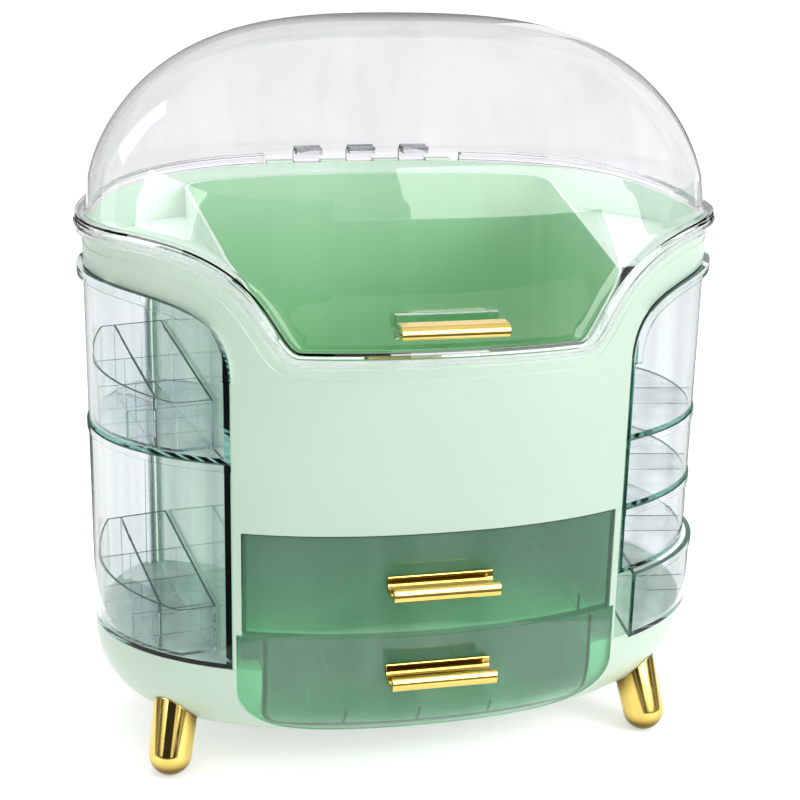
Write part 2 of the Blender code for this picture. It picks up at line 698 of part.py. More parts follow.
def hinge_bore():
    reach = HINGE_HALF_LENGTH + OVERRUN
    return rod("bore", (-reach, HINGE_Y, HINGE_Z), (reach, HINGE_Y, HINGE_Z), HINGE_BORE_RADIUS,
               HINGE_SIDES, CUTTERS)


def tower_front_opening():
    """Mouth of the drawer bay between the two front posts."""
    half = TOWER_FRONT_HALF_WIDTH - POST_WIDTH
    return box("bay_mouth", (-half, -FAR, BASE_TOP_Z - OVERRUN), (half, -BODY_HALF_DEPTH / 2, PANEL_BOTTOM_Z),
               CUTTERS)


def body_shell():
    """Tower, front panel, rear shell and the wide band under the lid, as one moulding."""
    low = BASE_TOP_Z + TOWER_GAP_Z
    made = oval_solid("body_shell", 0, low, DOME_TOP_Z, PARTS)
    cut(made, rim_ring(-BAND_STEP_DROP, BAND_STEP_DEPTH, STATIONS))
    core = oval_solid("core", SHELL_WALL, low - OVERRUN, DOME_TOP_Z + OVERRUN, CUTTERS)
    for low_x, high_x in knuckle_spans(lid_side=False):
        join(made, body_bracket(low_x, high_x))
    for side in (-1, 1):
        cut(made, side_bay(side, 0))
        cut(core, side_bay(side, SHELL_WALL))
    cut(made, core, above_rim(BODY_TOP_RISE), tower_front_opening(), plate_rebate())
    for side in (-1, 1):
        join(made, wall_rail(side, SHELF_TOP_Z - SHELF_THICKNESS - SEAT_GAP))
        join(made, wall_rail(side, WELL_FLOOR_Z - SEAT_GAP))
    return cut(made, hinge_bore())


def well_plan(inset):
    """Outline of the well: straight partitions between the front and rear arcs of the oval."""
    gap = SHELL_WALL + TRAY_CLEARANCE + WELL_SETBACK + inset
    steps = UNIT_ARC_STEPS // 2
    front, rear = WELL_FRONT_HALF_WIDTH - inset, WELL_REAR_HALF_WIDTH - inset
    points = []
    for i in range(steps + 1):
        x = -front + 2 * front * i / steps
        points.append((x, -oval_y(x, gap)))
    for i in range(steps + 1):
        x = rear - 2 * rear * i / steps
        points.append((x, oval_y(x, gap)))
    return round_corners(points, WELL_CORNER - inset, (0, steps, steps + 1, 2 * steps + 1))


def top_tray():
    """Liner under the lid: two shallow side decks and a deep well between sloping partitions."""
    made = outline_solid("top_tray", well_plan(0), WELL_FLOOR_Z, DOME_SPRING_Z, PARTS)
    decks = oval_solid("decks", SHELL_WALL + TRAY_CLEARANCE, DECK_Z - DECK_THICKNESS, DECK_Z, CUTTERS)
    join(made, decks)
    cut(made, outline_solid("well", well_plan(WELL_WALL), WELL_FLOOR_Z + WELL_FLOOR_THICKNESS,
                            DOME_TOP_Z, CUTTERS))
    front_y, rear_y = -oval_y(WELL_FRONT_HALF_WIDTH), oval_y(WELL_REAR_HALF_WIDTH)
    slope = (PARTITION_REAR_Z - PARTITION_FRONT_Z) / (rear_y - front_y)
    edge = lambda y: PARTITION_FRONT_Z + (y - front_y) * slope
    above = [(-FAR, edge(front_y)), (front_y, edge(front_y)), (rear_y, edge(rear_y)),
             (FAR, edge(rear_y)), (FAR, FAR + DOME_TOP_Z), (-FAR, FAR + DOME_TOP_Z)]
    half = WELL_REAR_HALF_WIDTH + WELL_WALL
    cut(made, outline_solid("slope", above, -half, half, CUTTERS, "X"))
    cut(made, above_rim(BODY_TOP_RISE - TRAY_RIM_DROP))
    return made


def shelf_plan():
    half = TOWER_FRONT_HALF_WIDTH - POST_WIDTH - RUN_GAP
    steps = UNIT_ARC_STEPS // 2
    points = []
    for i in range(steps + 1):
        x = -half + 2 * half * i / steps
        points.append((x, -oval_y(x, SHELF_SETBACK)))
    return points + [(half, SHELF_REAR_Y), (-half, SHELF_REAR_Y)]


def bay_shelf():
    return outline_solid("bay_shelf", shelf_plan(), SHELF_TOP_Z - SHELF_THICKNESS, SHELF_TOP_Z, PARTS)


def drawer_plan(half_width, inset, front_inset):
    """Drawer seen from above: a bowed front that follows the oval, straight sides and back."""
    steps = UNIT_ARC_STEPS
    half = half_width - inset
    points = []
    for i in range(steps + 1):
        x = -half + 2 * half * i / steps
        points.append((x, -oval_y(x, DRAWER_SETBACK + front_inset)))
    return points + [(half, DRAWER_REAR_Y - inset), (-half, DRAWER_REAR_Y - inset)]


def upper_drawer():
    made = outline_solid("upper_drawer", drawer_plan(UPPER_DRAWER_HALF_WIDTH, 0, 0),
                         UPPER_DRAWER_BOTTOM_Z, UPPER_DRAWER_TOP_Z, PARTS)
    floor = UPPER_DRAWER_BOTTOM_Z + DRAWER_FLOOR
    inside = drawer_plan(UPPER_DRAWER_HALF_WIDTH, DRAWER_WALL, DRAWER_WALL)
    cut(made, outline_solid("hollow", inside, floor, UPPER_DRAWER_TOP_Z + OVERRUN, CUTTERS))
    front = -oval_y(UPPER_RIB_X, DRAWER_SETBACK + DRAWER_WALL / 2)
    return join(made, box("rib", (UPPER_RIB_X, front, floor - DRAWER_FLOOR / 2),
                          (UPPER_RIB_X + RIB_THICKNESS, DRAWER_REAR_Y - DRAWER_WALL / 2, floor + RIB_HEIGHT),
                          CUTTERS))


def lower_drawer():
    """Tray with rounded lower corners behind a wide bowed plate."""
    buried = LOWER_PLATE_THICKNESS / 2
    made = outline_solid("lower_drawer", drawer_plan(LOWER_DRAWER_HALF_WIDTH, 0, buried), 0, FAR, PARTS)
    keep_inside(made, outline_solid("round", rounded_slot(
        LOWER_DRAWER_HALF_WIDTH, LOWER_DRAWER_BOTTOM_Z, LOWER_DRAWER_TOP_Z, LOWER_DRAWER_CORNER),
        -FAR, FAR, CUTTERS, "Y"))
    within = DRAWER_SETBACK + buried
    keep_inside(made, bowl("tray_front", within, within, DOME_TOP_Z, CUTTERS))
    plate = outline_solid("plate", rounded_slot(
        LOWER_PLATE_HALF_WIDTH, LOWER_PLATE_BOTTOM_Z, LOWER_PLATE_TOP_Z, LOWER_PLATE_CORNER_WIDTH,
        LOWER_PLATE_CORNER_HEIGHT), -FAR, -BODY_HALF_DEPTH / 2, CUTTERS, "Y")
    keep_inside(plate, bowl("plate_front", DRAWER_SETBACK, DRAWER_SETBACK, DOME_TOP_Z, CUTTERS))
    within = DRAWER_SETBACK + LOWER_PLATE_THICKNESS
    cut(plate, bowl("plate_back", within, within, DOME_TOP_Z, CUTTERS))
    join(made, plate)
    relief = LOWER_PLATE_THICKNESS - LOWER_PLATE_RELIEF
    within = DRAWER_SETBACK + relief
    hollow = outline_solid("hollow", drawer_plan(LOWER_DRAWER_HALF_WIDTH, DRAWER_WALL, relief), 0, FAR, CUTTERS)
    keep_inside(hollow, outline_solid("hollow_round", rounded_slot(
        LOWER_DRAWER_HALF_WIDTH - DRAWER_WALL, LOWER_DRAWER_BOTTOM_Z + DRAWER_FLOOR,
        LOWER_DRAWER_TOP_Z + OVERRUN, LOWER_DRAWER_CORNER - DRAWER_WALL), -FAR, FAR, CUTTERS, "Y"))
    keep_inside(hollow, bowl("hollow_front", within, within, DOME_TOP_Z, CUTTERS))
    cut(made, hollow)
    floor = LOWER_DRAWER_BOTTOM_Z + DRAWER_FLOOR
    for share in LOWER_RIB_SHARES:
        x = LOWER_DRAWER_HALF_WIDTH * share
        rib = box("rib", (x, -FAR, floor - DRAWER_FLOOR / 2),
                  (x + RIB_THICKNESS, DRAWER_REAR_Y - DRAWER_WALL / 2, floor + RIB_HEIGHT), CUTTERS)
        within = DRAWER_SETBACK + DRAWER_WALL
        join(made, keep_inside(rib, bowl("rib_front", within, within, DOME_TOP_Z, CUTTERS)))
    return made


def arc(middle, radius, start, turn):
    """Points on an arc in a plane, both ends included."""
    angles = [start + turn * i / CORNER_STEPS for i in range(CORNER_STEPS + 1)]
    return [(middle[0] + radius * math.cos(a), middle[1] + radius * math.sin(a)) for a in angles]


def ledge_pull(name, low):
    """Gold pull: a low back plate, a trough for the fingertips and a rounded lip, as one bent profile."""
    face = -BODY_HALF_DEPTH + DRAWER_SETBACK - SEAT_GAP
    lip = face - PULL_REACH
    quarter = math.pi / 2
    plate, tip, corner = PULL_PLATE / 2, PULL_LIP_DEPTH / 2, PULL_TROUGH_CORNER
    trough = low + PULL_TROUGH_WALL + corner
    outline = [(face, low)]
    outline += arc((face - plate, low + PULL_PLATE_RISE - plate), plate, 0, 2 * quarter)
    outline += arc((face - PULL_PLATE - corner, trough), corner, 0, -quarter)
    outline += arc((lip + PULL_LIP_DEPTH + corner, trough), corner, -quarter, -quarter)
    outline += arc((lip + tip, low + PULL_LIP_HEIGHT - tip), tip, 0, 2 * quarter)
    outline += arc((lip + tip, low + tip), tip, 2 * quarter, quarter)
    return outline_solid(name, outline[::-1], -PULL_WIDTH / 2, PULL_WIDTH / 2, PARTS, "X")


def lid_profile():
    """Rings of the lid's outer face, from the flange's lower edge up to the dome's foot."""
    span = LID_FLANGE_REACH + LID_FOOT_INSET
    return [(LID_FLANGE_REACH - span * a, LID_FLANGE_HEIGHT * b) for a, b in LID_PROFILE_SHARES]


def dome_ring(z):
    """Ring of the dome at this height, shallower and set further back as it rises."""
    share = max(0.0, (z - DOME_SHAPE_Z) / (DOME_TOP_Z - DOME_SHAPE_Z))
    width = (1 - share ** DOME_RISE_POWER) ** (1 / DOME_SIDE_POWER)
    depth = width * (1 - DOME_SHALLOW_SHARE * share)
    ring = []
    for angle in STATIONS:
        x, y = oval((BODY_HALF_WIDTH - LID_FOOT_INSET) * width, (BODY_HALF_DEPTH - LID_FOOT_INSET) * depth, angle)
        ring.append((x, y + DOME_LEAN * share, z))
    return ring


def lid_rings():
    """Open skin of the lid. Its lowest rings follow the wavy rim and the rest are level."""
    rings = []
    for out, up in lid_profile():
        rings.append(oval_ring(-out, lambda x, y, up=up: rim_z(x, y, up)))
    level = dome_ring(DOME_SPRING_Z)
    foot = rings[-1]
    for i in range(1, DOME_WALL_RINGS + 1):
        share = i / (DOME_WALL_RINGS + 1)
        rings.append([tuple(Vector(f).lerp(Vector(l), share)) for f, l in zip(foot, level)])
    for share in DOME_RISE_SHARES:
        rings.append(dome_ring(DOME_SPRING_Z + (DOME_TOP_Z - DOME_SPRING_Z) * share))
    return rings


def lid_dome():
    """Clear lid in one moulding, with a rolled flange, notched at the rear for the hinge."""
    rings = lid_rings()
    bm = bmesh.new()
    rows = [[bm.verts.new(p) for p in ring] for ring in rings]
    for lower, upper in zip(rows, rows[1:]):
        for i in range(len(lower)):
            j = (i + 1) % len(lower)
            bm.faces.new((lower[i], lower[j], upper[j], upper[i]))
    crown = bm.verts.new((0, DOME_LEAN, DOME_TOP_Z))
    for i in range(len(rows[-1])):
        bm.faces.new((rows[-1][i], rows[-1][(i + 1) % len(rows[-1])], crown))
    made = from_bmesh("lid_dome", bm, PARTS)
    shell = made.modifiers.new("wall", "SOLIDIFY")
    shell.thickness = LID_WALL
    shell.offset = -1
    shell.use_even_offset = True
    bpy.context.view_layer.update()
    solid = made.evaluated_get(bpy.context.evaluated_depsgraph_get())
    mesh = bpy.data.meshes.new_from_object(solid)
    made.modifiers.clear()
    made.data = mesh
    half = HINGE_HALF_LENGTH + HINGE_NOTCH_MARGIN
    cut(made, box("notch", (-half, BODY_HALF_DEPTH / 2, RIM_SIDE_Z),
                  (half, FAR, RIM_REAR_Z + LID_FLANGE_HEIGHT), CUTTERS))
    for low_x, high_x in knuckle_spans(lid_side=True):
        join(made, lid_lug(low_x, high_x))
    join(made, lid_tab())
    return cut(made, hinge_bore())


def lid_tab():
    """Clear tab of the lid, a pad on its wall with a shelf that carries the bar."""
    half = LID_TAB_WIDTH / 2
    steps = UNIT_ARC_STEPS // 2
    inner = [half - 2 * half * i / steps for i in range(steps + 1)]
    buried = LID_FOOT_INSET + LID_WALL * BURIED_SHARE
    rear = [(x, -oval_y(x, buried)) for x in inner]
    front = [(x, -oval_y(x, LID_FOOT_INSET) - LID_TAB_THICKNESS) for x in reversed(inner)]
    top = LID_SHELF_Z + LID_TAB_RISE
    pad = outline_solid("pad", rear + front, top - LID_TAB_HEIGHT, top, CUTTERS)
    middle = [(x, -oval_y(x, LID_FOOT_INSET) - LID_TAB_THICKNESS / 2) for x in inner]
    shelf = middle + [(-half + RUN_GAP, LID_SHELF_FRONT_Y), (half - RUN_GAP, LID_SHELF_FRONT_Y)]
    shelf[0] = (half - RUN_GAP, shelf[0][1])
    shelf[steps] = (RUN_GAP - half, shelf[steps][1])
    return join(pad, outline_solid("shelf", shelf, LID_SHELF_Z - LID_SHELF_THICKNESS, LID_SHELF_Z, CUTTERS))


def lid_bar():
    """Gold bar with a round nose that clips over the front edge of the shelf."""
    front = LID_BAR_FRONT_Y
    rear = front + LID_BAR_DEPTH
    low = LID_SHELF_Z - LID_SHELF_THICKNESS / 2 - LID_BAR_HEIGHT / 2
    nose = LID_BAR_HEIGHT / 2
    points = [(rear, low), (rear, low + LID_BAR_HEIGHT)]
    points += arc((front + nose, low + nose), nose, math.pi / 2, math.pi)
    made = outline_solid("lid_handle_bar", points, -LID_BAR_WIDTH / 2, LID_BAR_WIDTH / 2, PARTS, "X")
    slot_low = LID_SHELF_Z - LID_SHELF_THICKNESS - SEAT_GAP
    return cut(made, box("slot", (-FAR, LID_SHELF_FRONT_Y - SEAT_GAP, slot_low),
                         (FAR, FAR, LID_SHELF_Z + SEAT_GAP), CUTTERS))


def hinge_pin():
    reach = HINGE_HALF_LENGTH
    return rod("lid_hinge_pin", (-reach, HINGE_Y, HINGE_Z), (reach, HINGE_Y, HINGE_Z), HINGE_PIN_RADIUS,
               HINGE_SIDES, PARTS)


def pivot_point():
    """Axis of the right side's units: the nose circle touches the oval and runs clear of the tower."""
    front, rear = tower_line()
    along = (rear - front).normalized()
    outwards = Vector((along.y, -along.x))
    low, high = 0.0, (rear - front).length
    inset = UNIT_NOSE_RADIUS
    for _ in range(HALVINGS):
        reach = (low + high) / 2
        spot = front + along * reach + outwards * (UNIT_NOSE_RADIUS + RUN_GAP)
        value = (abs(spot.x) / (BODY_HALF_WIDTH - inset)) ** OVAL_POWER \
            + (abs(spot.y) / (BODY_HALF_DEPTH - inset)) ** OVAL_POWER
        if spot.y > 0 and value > 1:
            high = reach
        else:
            low = reach
    return spot


PIVOT = pivot_point()
RACK_ROW_PITCH = ((PIVOT - tower_line()[0]).length - RACK_FRONT - RACK_REAR_ROOM) / RACK_ROWS


def unit_plan():
    """Plan of a right unit: the oval's arc, a round nose on the pivot and a straight inner wall."""
    front, rear = tower_line()
    along = (rear - front).normalized()
    outwards = Vector((along.y, -along.x))
    start = front + outwards * RUN_GAP
    corner_x = start.x
    first = -math.acos((corner_x / BODY_HALF_WIDTH) ** (OVAL_POWER / 2))
    last = nose_angle()
    points = []
    for i in range(UNIT_ARC_STEPS + 1):
        points.append(oval(BODY_HALF_WIDTH, BODY_HALF_DEPTH, first + (last - first) * i / UNIT_ARC_STEPS))
    tail = Vector(points[-1])
    begin = math.atan2(tail.y - PIVOT.y, tail.x - PIVOT.x)
    end = math.atan2(-outwards.y, -outwards.x) % (2 * math.pi)
    steps = CORNER_STEPS
    for i in range(1, steps + 1):
        a = begin + (end - begin) * i / steps
        points.append((PIVOT.x + UNIT_NOSE_RADIUS * math.cos(a), PIVOT.y + UNIT_NOSE_RADIUS * math.sin(a)))
    return points


def nose_angle():
    """Station of the oval nearest to the pivot."""
    tries = HALVINGS * HALVINGS
    best = min(((Vector(oval(BODY_HALF_WIDTH, BODY_HALF_DEPTH, a)) - PIVOT).length, a)
               for a in [i / tries * math.pi / 2 for i in range(tries)])
    return best[1]


def below_arch(side, gap):
    """Space under the band's lower edge, for the units that reach up to it."""
    arch = offset_line(ARCH_CURVE, -gap)
    foot = (arch[0][0], 0)
    outline = [foot] + arch + [(FAR, arch[-1][1]), (FAR, 0)]
    return outline_solid("below_arch", mirrored(outline, side), -FAR, FAR, CUTTERS, "Y")


def arch_strip(side, gap, height):
    """Strip that follows the band's lower edge, for the thick lip of the top units."""
    upper = offset_line(ARCH_CURVE, -gap)
    lower = offset_line(ARCH_CURVE, -gap - height)
    outline = upper + [(FAR, upper[-1][1]), (FAR, lower[-1][1])] + lower[::-1]
    return outline_solid("arch_strip", mirrored(outline, side), -FAR, FAR, CUTTERS, "Y")


def over_head(side, gap):
    """Space over a top unit's barrel, cut level so that its head turns under the sloping band."""
    arch = offset_line(ARCH_CURVE, -gap)
    level = float(np.interp(PIVOT.x - UNIT_NOSE_RADIUS, [p[0] for p in arch], [p[1] for p in arch]))
    spot = (side * PIVOT.x, PIVOT.y)
    return rod("over_head", (*spot, level), (*spot, level + FAR), UNIT_NOSE_RADIUS + UNIT_HEAD_SPREAD,
               PIVOT_SIDES * 2, CUTTERS)


def side_unit(name, side, low, high, top_unit):
    """Clear unit or tray: walls, floor, a thick lip round its outer edge and a barrel on the pivot."""
    plan = mirrored(unit_plan(), side)
    top = DOME_TOP_Z if top_unit else high
    made = outline_solid(name, plan, low, top, PARTS)
    if top_unit:
        keep_inside(made, below_arch(side, RUN_GAP))
    reach = TOP_LIP_REACH if top_unit else TRAY_LIP_REACH
    height = TOP_LIP_HEIGHT if top_unit else TRAY_LIP_HEIGHT
    lip = oval_solid("lip", -reach, low if top_unit else top - height, top, CUTTERS)
    if top_unit:
        keep_inside(lip, arch_strip(side, RUN_GAP, height))
    keep_inside(lip, outline_solid("lip_plan", lip_plan(side), 0, FAR + DOME_TOP_Z, CUTTERS))
    join(made, lip)
    hollow = outline_solid("hollow", grow(plan, -UNIT_WALL), low + UNIT_FLOOR, top + OVERRUN, CUTTERS)
    spot = (side * PIVOT.x, PIVOT.y)
    cut(hollow, rod("barrel", (*spot, 0), (*spot, FAR + DOME_TOP_Z), UNIT_NOSE_RADIUS, PIVOT_SIDES * 2, CUTTERS))
    cut(made, hollow)
    if top_unit:
        cut(made, over_head(side, RUN_GAP))
    return cut(made, rod("bore", (*spot, 0), (*spot, FAR + DOME_TOP_Z), PIVOT_BORE_RADIUS, PIVOT_SIDES, CUTTERS))


def lip_plan(side):
    """Reach of the lip in plan: outside the inner wall and forward of the barrel."""
    front, rear = tower_line()
    along = (rear - front).normalized()
    outwards = Vector((along.y, -along.x))
    near = front + outwards * RUN_GAP - along * FAR
    far_y = PIVOT.y - UNIT_NOSE_RADIUS * 2
    t = (far_y - near.y) / along.y
    end = near + along * t
    plan = [tuple(near), (near.x + 2 * FAR, near.y), (end.x + 2 * FAR, far_y), (end.x, far_y)]
    return mirrored(plan, side)


def tray_rib(side, low):
    """Low rib that splits a tray, square to its inner wall."""
    front, rear = tower_line()
    along = (rear - front).normalized()
    outwards = Vector((along.y, -along.x))
    start = front + along * TRAY_RIB_BEHIND_FRONT + outwards * (RUN_GAP + UNIT_WALL / 2)
    end = start + outwards * FAR
    plan = [tuple(start), tuple(end), tuple(end + along * RIB_THICKNESS), tuple(start + along * RIB_THICKNESS)]
    rib = outline_solid("rib", mirrored(plan, side), low + UNIT_FLOOR / 2, low + UNIT_FLOOR + RIB_HEIGHT, CUTTERS)
    inside = outline_solid("rib_reach", grow(mirrored(unit_plan(), side), -UNIT_WALL / 2), 0, FAR, CUTTERS)
    return keep_inside(rib, inside)


def rack_frame():
    """Corner of the rack's grid, its direction towards the rear and its direction outwards."""
    front, rear = tower_line()
    along = (rear - front).normalized()
    outwards = Vector((along.y, -along.x))
    return front + along * RACK_FRONT + outwards * (RUN_GAP + UNIT_WALL + RACK_CLEARANCE), along, outwards


def rack_point(u, v):
    corner, along, outwards = rack_frame()
    return tuple(corner + along * u + outwards * v)


def rack_block(side, u0, u1, v0, v1, low, high):
    """Block of the rack's grid, from u0 to u1 towards the rear and from v0 to v1 outwards."""
    corners = [rack_point(u0, v0), rack_point(u0, v1), rack_point(u1, v1), rack_point(u1, v0)]
    return outline_solid("block", mirrored(corners, side), low, high, CUTTERS)


def lipstick_rack(name, side, low):
    """Stepped rack: two columns of cells whose walls rise towards the rear."""
    length = RACK_ROWS * RACK_ROW_PITCH + RACK_WALL
    room = grow(mirrored(unit_plan(), side), -UNIT_WALL - RACK_CLEARANCE)
    floor = low + UNIT_FLOOR + SEAT_GAP
    top = floor + RACK_REAR_HEIGHT + OVERRUN
    made = outline_solid(name, room, floor, top, PARTS)
    keep_inside(made, rack_block(side, 0, length, -OVERRUN, FAR, floor - OVERRUN, top + OVERRUN))
    hollow = outline_solid("hollow", grow(room, -RACK_WALL), floor + RACK_FLOOR, top + OVERRUN, CUTTERS)
    keep_inside(hollow, rack_block(side, RACK_WALL, length - RACK_WALL, -OVERRUN, FAR, floor, top + 2 * OVERRUN))
    cut(made, hollow)
    buried = RACK_WALL / 2
    foot_z = floor + RACK_FLOOR / 2
    walls = []
    for row in range(1, RACK_ROWS):
        u = row * RACK_ROW_PITCH
        height = floor + RACK_CROSS_FRONT_HEIGHT + row * RACK_CROSS_RISE
        walls.append(rack_block(side, u, u + RACK_WALL, buried, FAR, foot_z, height))
    v = RACK_WALL + RACK_INNER_COLUMN
    walls.append(rack_block(side, buried, length - buried, v, v + RACK_WALL, foot_z, top - OVERRUN / 2))
    for wall in walls:
        inside = outline_solid("reach", grow(room, -buried), floor, top + OVERRUN, CUTTERS)
        join(made, keep_inside(wall, inside))
    start_y, end_y = rack_point(0, 0)[1], rack_point(length, 0)[1]
    above = [(start_y - FAR, floor + RACK_FRONT_HEIGHT), (start_y, floor + RACK_FRONT_HEIGHT),
             (end_y, floor + RACK_REAR_HEIGHT), (end_y + FAR, floor + RACK_REAR_HEIGHT),
             (end_y + FAR, floor + FAR), (start_y - FAR, floor + FAR)]
    return cut(made, outline_solid("above", above, -FAR, FAR, CUTTERS, "X"))


def pivot_rod(name, side):
    spot = (side * PIVOT.x, PIVOT.y)
    top = float(np.interp(PIVOT.x, [p[0] for p in ARCH_CURVE], [p[1] for p in ARCH_CURVE])) - RUN_GAP
    return rod(name, (*spot, BASE_TOP_Z + SEAT_GAP), (*spot, top), PIVOT_ROD_RADIUS, PIVOT_SIDES, PARTS)


def open_slightly(item, angle):
    """Swing a right tray about its pivot."""
    turn = Matrix.Translation((PIVOT.x, PIVOT.y, 0)) @ Matrix.Rotation(angle, 4, "Z") \
        @ Matrix.Translation((-PIVOT.x, -PIVOT.y, 0))
    item.data.transform(turn)
    return item


def set_origin(item, spot):
    """Put a piece's origin on its joint's axis."""
    item.data.transform(Matrix.Translation(-Vector(spot)))
    item.location = spot


def finish(item, finish_material, origin_at=(0, 0, 0)):
    item.data.materials.clear()
    item.data.materials.append(finish_material)
    item.data.shade_smooth()
    item.data.set_sharp_from_angle(angle=math.radians(35))
    set_origin(item, origin_at)
    item.parent = FRAME
    return item


def side_pieces(clear, steel):
    low = BASE_TOP_Z + RUN_GAP
    left = (-PIVOT.x, PIVOT.y, 0)
    right = (PIVOT.x, PIVOT.y, 0)
    finish(side_unit("left_lower_unit", -1, low, LEFT_SPLIT_Z - RUN_GAP / 2, False), clear, left)
    finish(side_unit("left_upper_unit", -1, LEFT_SPLIT_Z + RUN_GAP / 2, 0, True), clear, left)
    finish(lipstick_rack("left_lower_rack", -1, low), clear, left)
    finish(lipstick_rack("left_upper_rack", -1, LEFT_SPLIT_Z + RUN_GAP / 2), clear, left)
    floors = [low] + [z + RUN_GAP / 2 for z in RIGHT_SPLITS_Z]
    tops = [z - RUN_GAP / 2 for z in RIGHT_SPLITS_Z] + [0]
    for i, (floor, top) in enumerate(zip(floors, tops)):
        tray = side_unit(f"right_tray_{4 - i}", 1, floor, top, i == len(floors) - 1)
        join(tray, tray_rib(1, floor))
        if i == 0:
            open_slightly(tray, OPEN_TRAY_ANGLE)
        finish(tray, clear, right)
    for name, side in (("left_pivot_rod", -1), ("right_pivot_rod", 1)):
        finish(pivot_rod(name, side), steel)


def build():
    mint = material("mint plastic", MINT, 0.35)
    clear = material("clear plastic", CLEAR, 0.05, transmission=0.9)
    tint = material("tinted plastic", TINT, 0.06, transmission=0.7)
    gold = material("gold plate", GOLD, 0.12, metallic=1.0)
    steel = material("steel", STEEL, 0.25, metallic=1.0)
    finish(base_bowl(), mint)
    finish(body_shell(), mint)
    finish(top_tray(), mint)
    finish(bay_shelf(), mint)
    hinge = (0, HINGE_Y, HINGE_Z)
    finish(lid_dome(), clear, hinge)
    finish(lid_bar(), gold, hinge)
    finish(hinge_pin(), steel)
    finish(upper_drawer(), tint)
    finish(lower_drawer(), tint)
    finish(ledge_pull("upper_drawer_pull", UPPER_PULL_Z), gold)
    finish(ledge_pull("lower_drawer_pull", LOWER_PULL_Z), gold)
    side_pieces(clear, steel)
    for name, side, depth in (("foot_front_left", -1, -1), ("foot_front_right", 1, -1),
                              ("foot_rear_left", -1, 1), ("foot_rear_right", 1, 1)):
        finish(foot(name, side, depth), gold)


clear_scene()
PARTS = collection("makeup_organizer")
CUTTERS = collection("cutters")
FRAME = bpy.data.objects.new("makeup_organizer_frame", None)
PARTS.objects.link(FRAME)
FRAME.location = (0, PLAN_SHIFT_Y, 0)
build()
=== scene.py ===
"""Looks of the dustproof makeup organizer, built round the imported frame.

Each piece repeats the shape of its solid with finer curves and rounded edges, and gets a material."""
import math

import bmesh
import bpy
import numpy as np
from mathutils import Matrix, Vector


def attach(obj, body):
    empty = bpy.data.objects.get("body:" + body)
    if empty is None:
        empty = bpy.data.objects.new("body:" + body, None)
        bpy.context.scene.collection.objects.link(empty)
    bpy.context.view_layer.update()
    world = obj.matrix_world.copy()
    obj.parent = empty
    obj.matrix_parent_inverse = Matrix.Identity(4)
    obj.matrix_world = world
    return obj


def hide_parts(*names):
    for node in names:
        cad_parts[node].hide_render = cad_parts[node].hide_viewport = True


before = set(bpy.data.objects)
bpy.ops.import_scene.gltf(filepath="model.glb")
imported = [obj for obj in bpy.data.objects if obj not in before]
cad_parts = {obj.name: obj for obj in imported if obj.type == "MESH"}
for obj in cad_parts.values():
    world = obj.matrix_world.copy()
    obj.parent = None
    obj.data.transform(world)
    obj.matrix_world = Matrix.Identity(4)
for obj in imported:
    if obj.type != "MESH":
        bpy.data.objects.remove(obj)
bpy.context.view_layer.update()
PARTS = bpy.data.collections.new("looks")
bpy.context.scene.collection.children.link(PARTS)

MM = 0.001
QUARTER = math.pi / 2
CIRCLE = 2 * math.pi

# Fits between pieces, reaches of the cutting solids and steps of a search
SEAT_GAP = 0.3 * MM
RUN_GAP = 0.6 * MM
OVERRUN = 12 * MM
FAR = 300 * MM
WELD = 0.005 * MM
HALVINGS = 40

# Sign of x on each side
SIDES = {"left": -1, "right": 1}

# Oval plan of the body, a superellipse
BODY_HALF_WIDTH = 184 * MM
BODY_HALF_DEPTH = 113 * MM
OVAL_POWER = 2.17
SHELL_WALL = 2.4 * MM
STATION_SPLITS = 4
FRONT_STATION_SHARES = (0, 0.15, 0.29, 0.38, 0.43, 0.475, 0.51, 0.545, 0.585, 0.64, 0.72, 0.81, 0.9, 0.965)
REAR_STATION_SHARES = (0.985, 0.93, 0.85, 0.75, 0.62, 0.47, 0.31, 0.15)

# Base bowl and feet
BASE_BOTTOM_Z = 20 * MM
BASE_TOP_Z = 75.8 * MM
BASE_RIM_DEPTH = 5 * MM
BASE_ROUND_INSET = 60 * MM
BASE_ROUND_POWER = 2.2
BASE_WALL = 5.6 * MM
BASE_FLOOR = 3 * MM
BASE_ROUND_STEPS = 20
FOOT_RADIUS = 14 * MM
FOOT_TIP_RADIUS = 12.6 * MM
FOOT_INSET_X = 37 * MM
FOOT_INSET_Y = 48 * MM
FOOT_SPLAY = math.radians(10)
FOOT_RAKE = math.radians(18)
FOOT_LENGTH = 62 * MM
FOOT_SIDES = 64
FOOT_SOLE_DEPTH = 0.9 * MM
FOOT_ROUND_STEPS = 14

# Tower walls, seen in plan
TOWER_HALF_WIDTH = 113 * MM
TOWER_FLARE = 27 * MM
POST_WIDTH = 4.5 * MM
PANEL_BOTTOM_Z = 159.3 * MM
TOWER_GAP_Z = 0.3 * MM

# Lower edge of the mint band over the side units, as a curve of x and z
ARCH_FOOT_Z = 246 * MM
ARCH_PULL_Z = 283 * MM
ARCH_SHOULDER_IN = 44 * MM
ARCH_SHOULDER_Z = 288 * MM
ARCH_SIDE_Z = 292 * MM
CURVE_STEPS = 30

# Lower edge of the lid's rim, as a curve of x and z
RIM_FRONT_Z = 255.5 * MM
RIM_SIDE_Z = 312 * MM
RIM_REAR_Z = 325 * MM
RIM_FLAT_IN = 37 * MM
RIM_PULL_IN = 13 * MM
RIM_RISE_IN = 21 * MM
RIM_RISE_Z = 308 * MM
RIM_SIDE_IN = 24 * MM

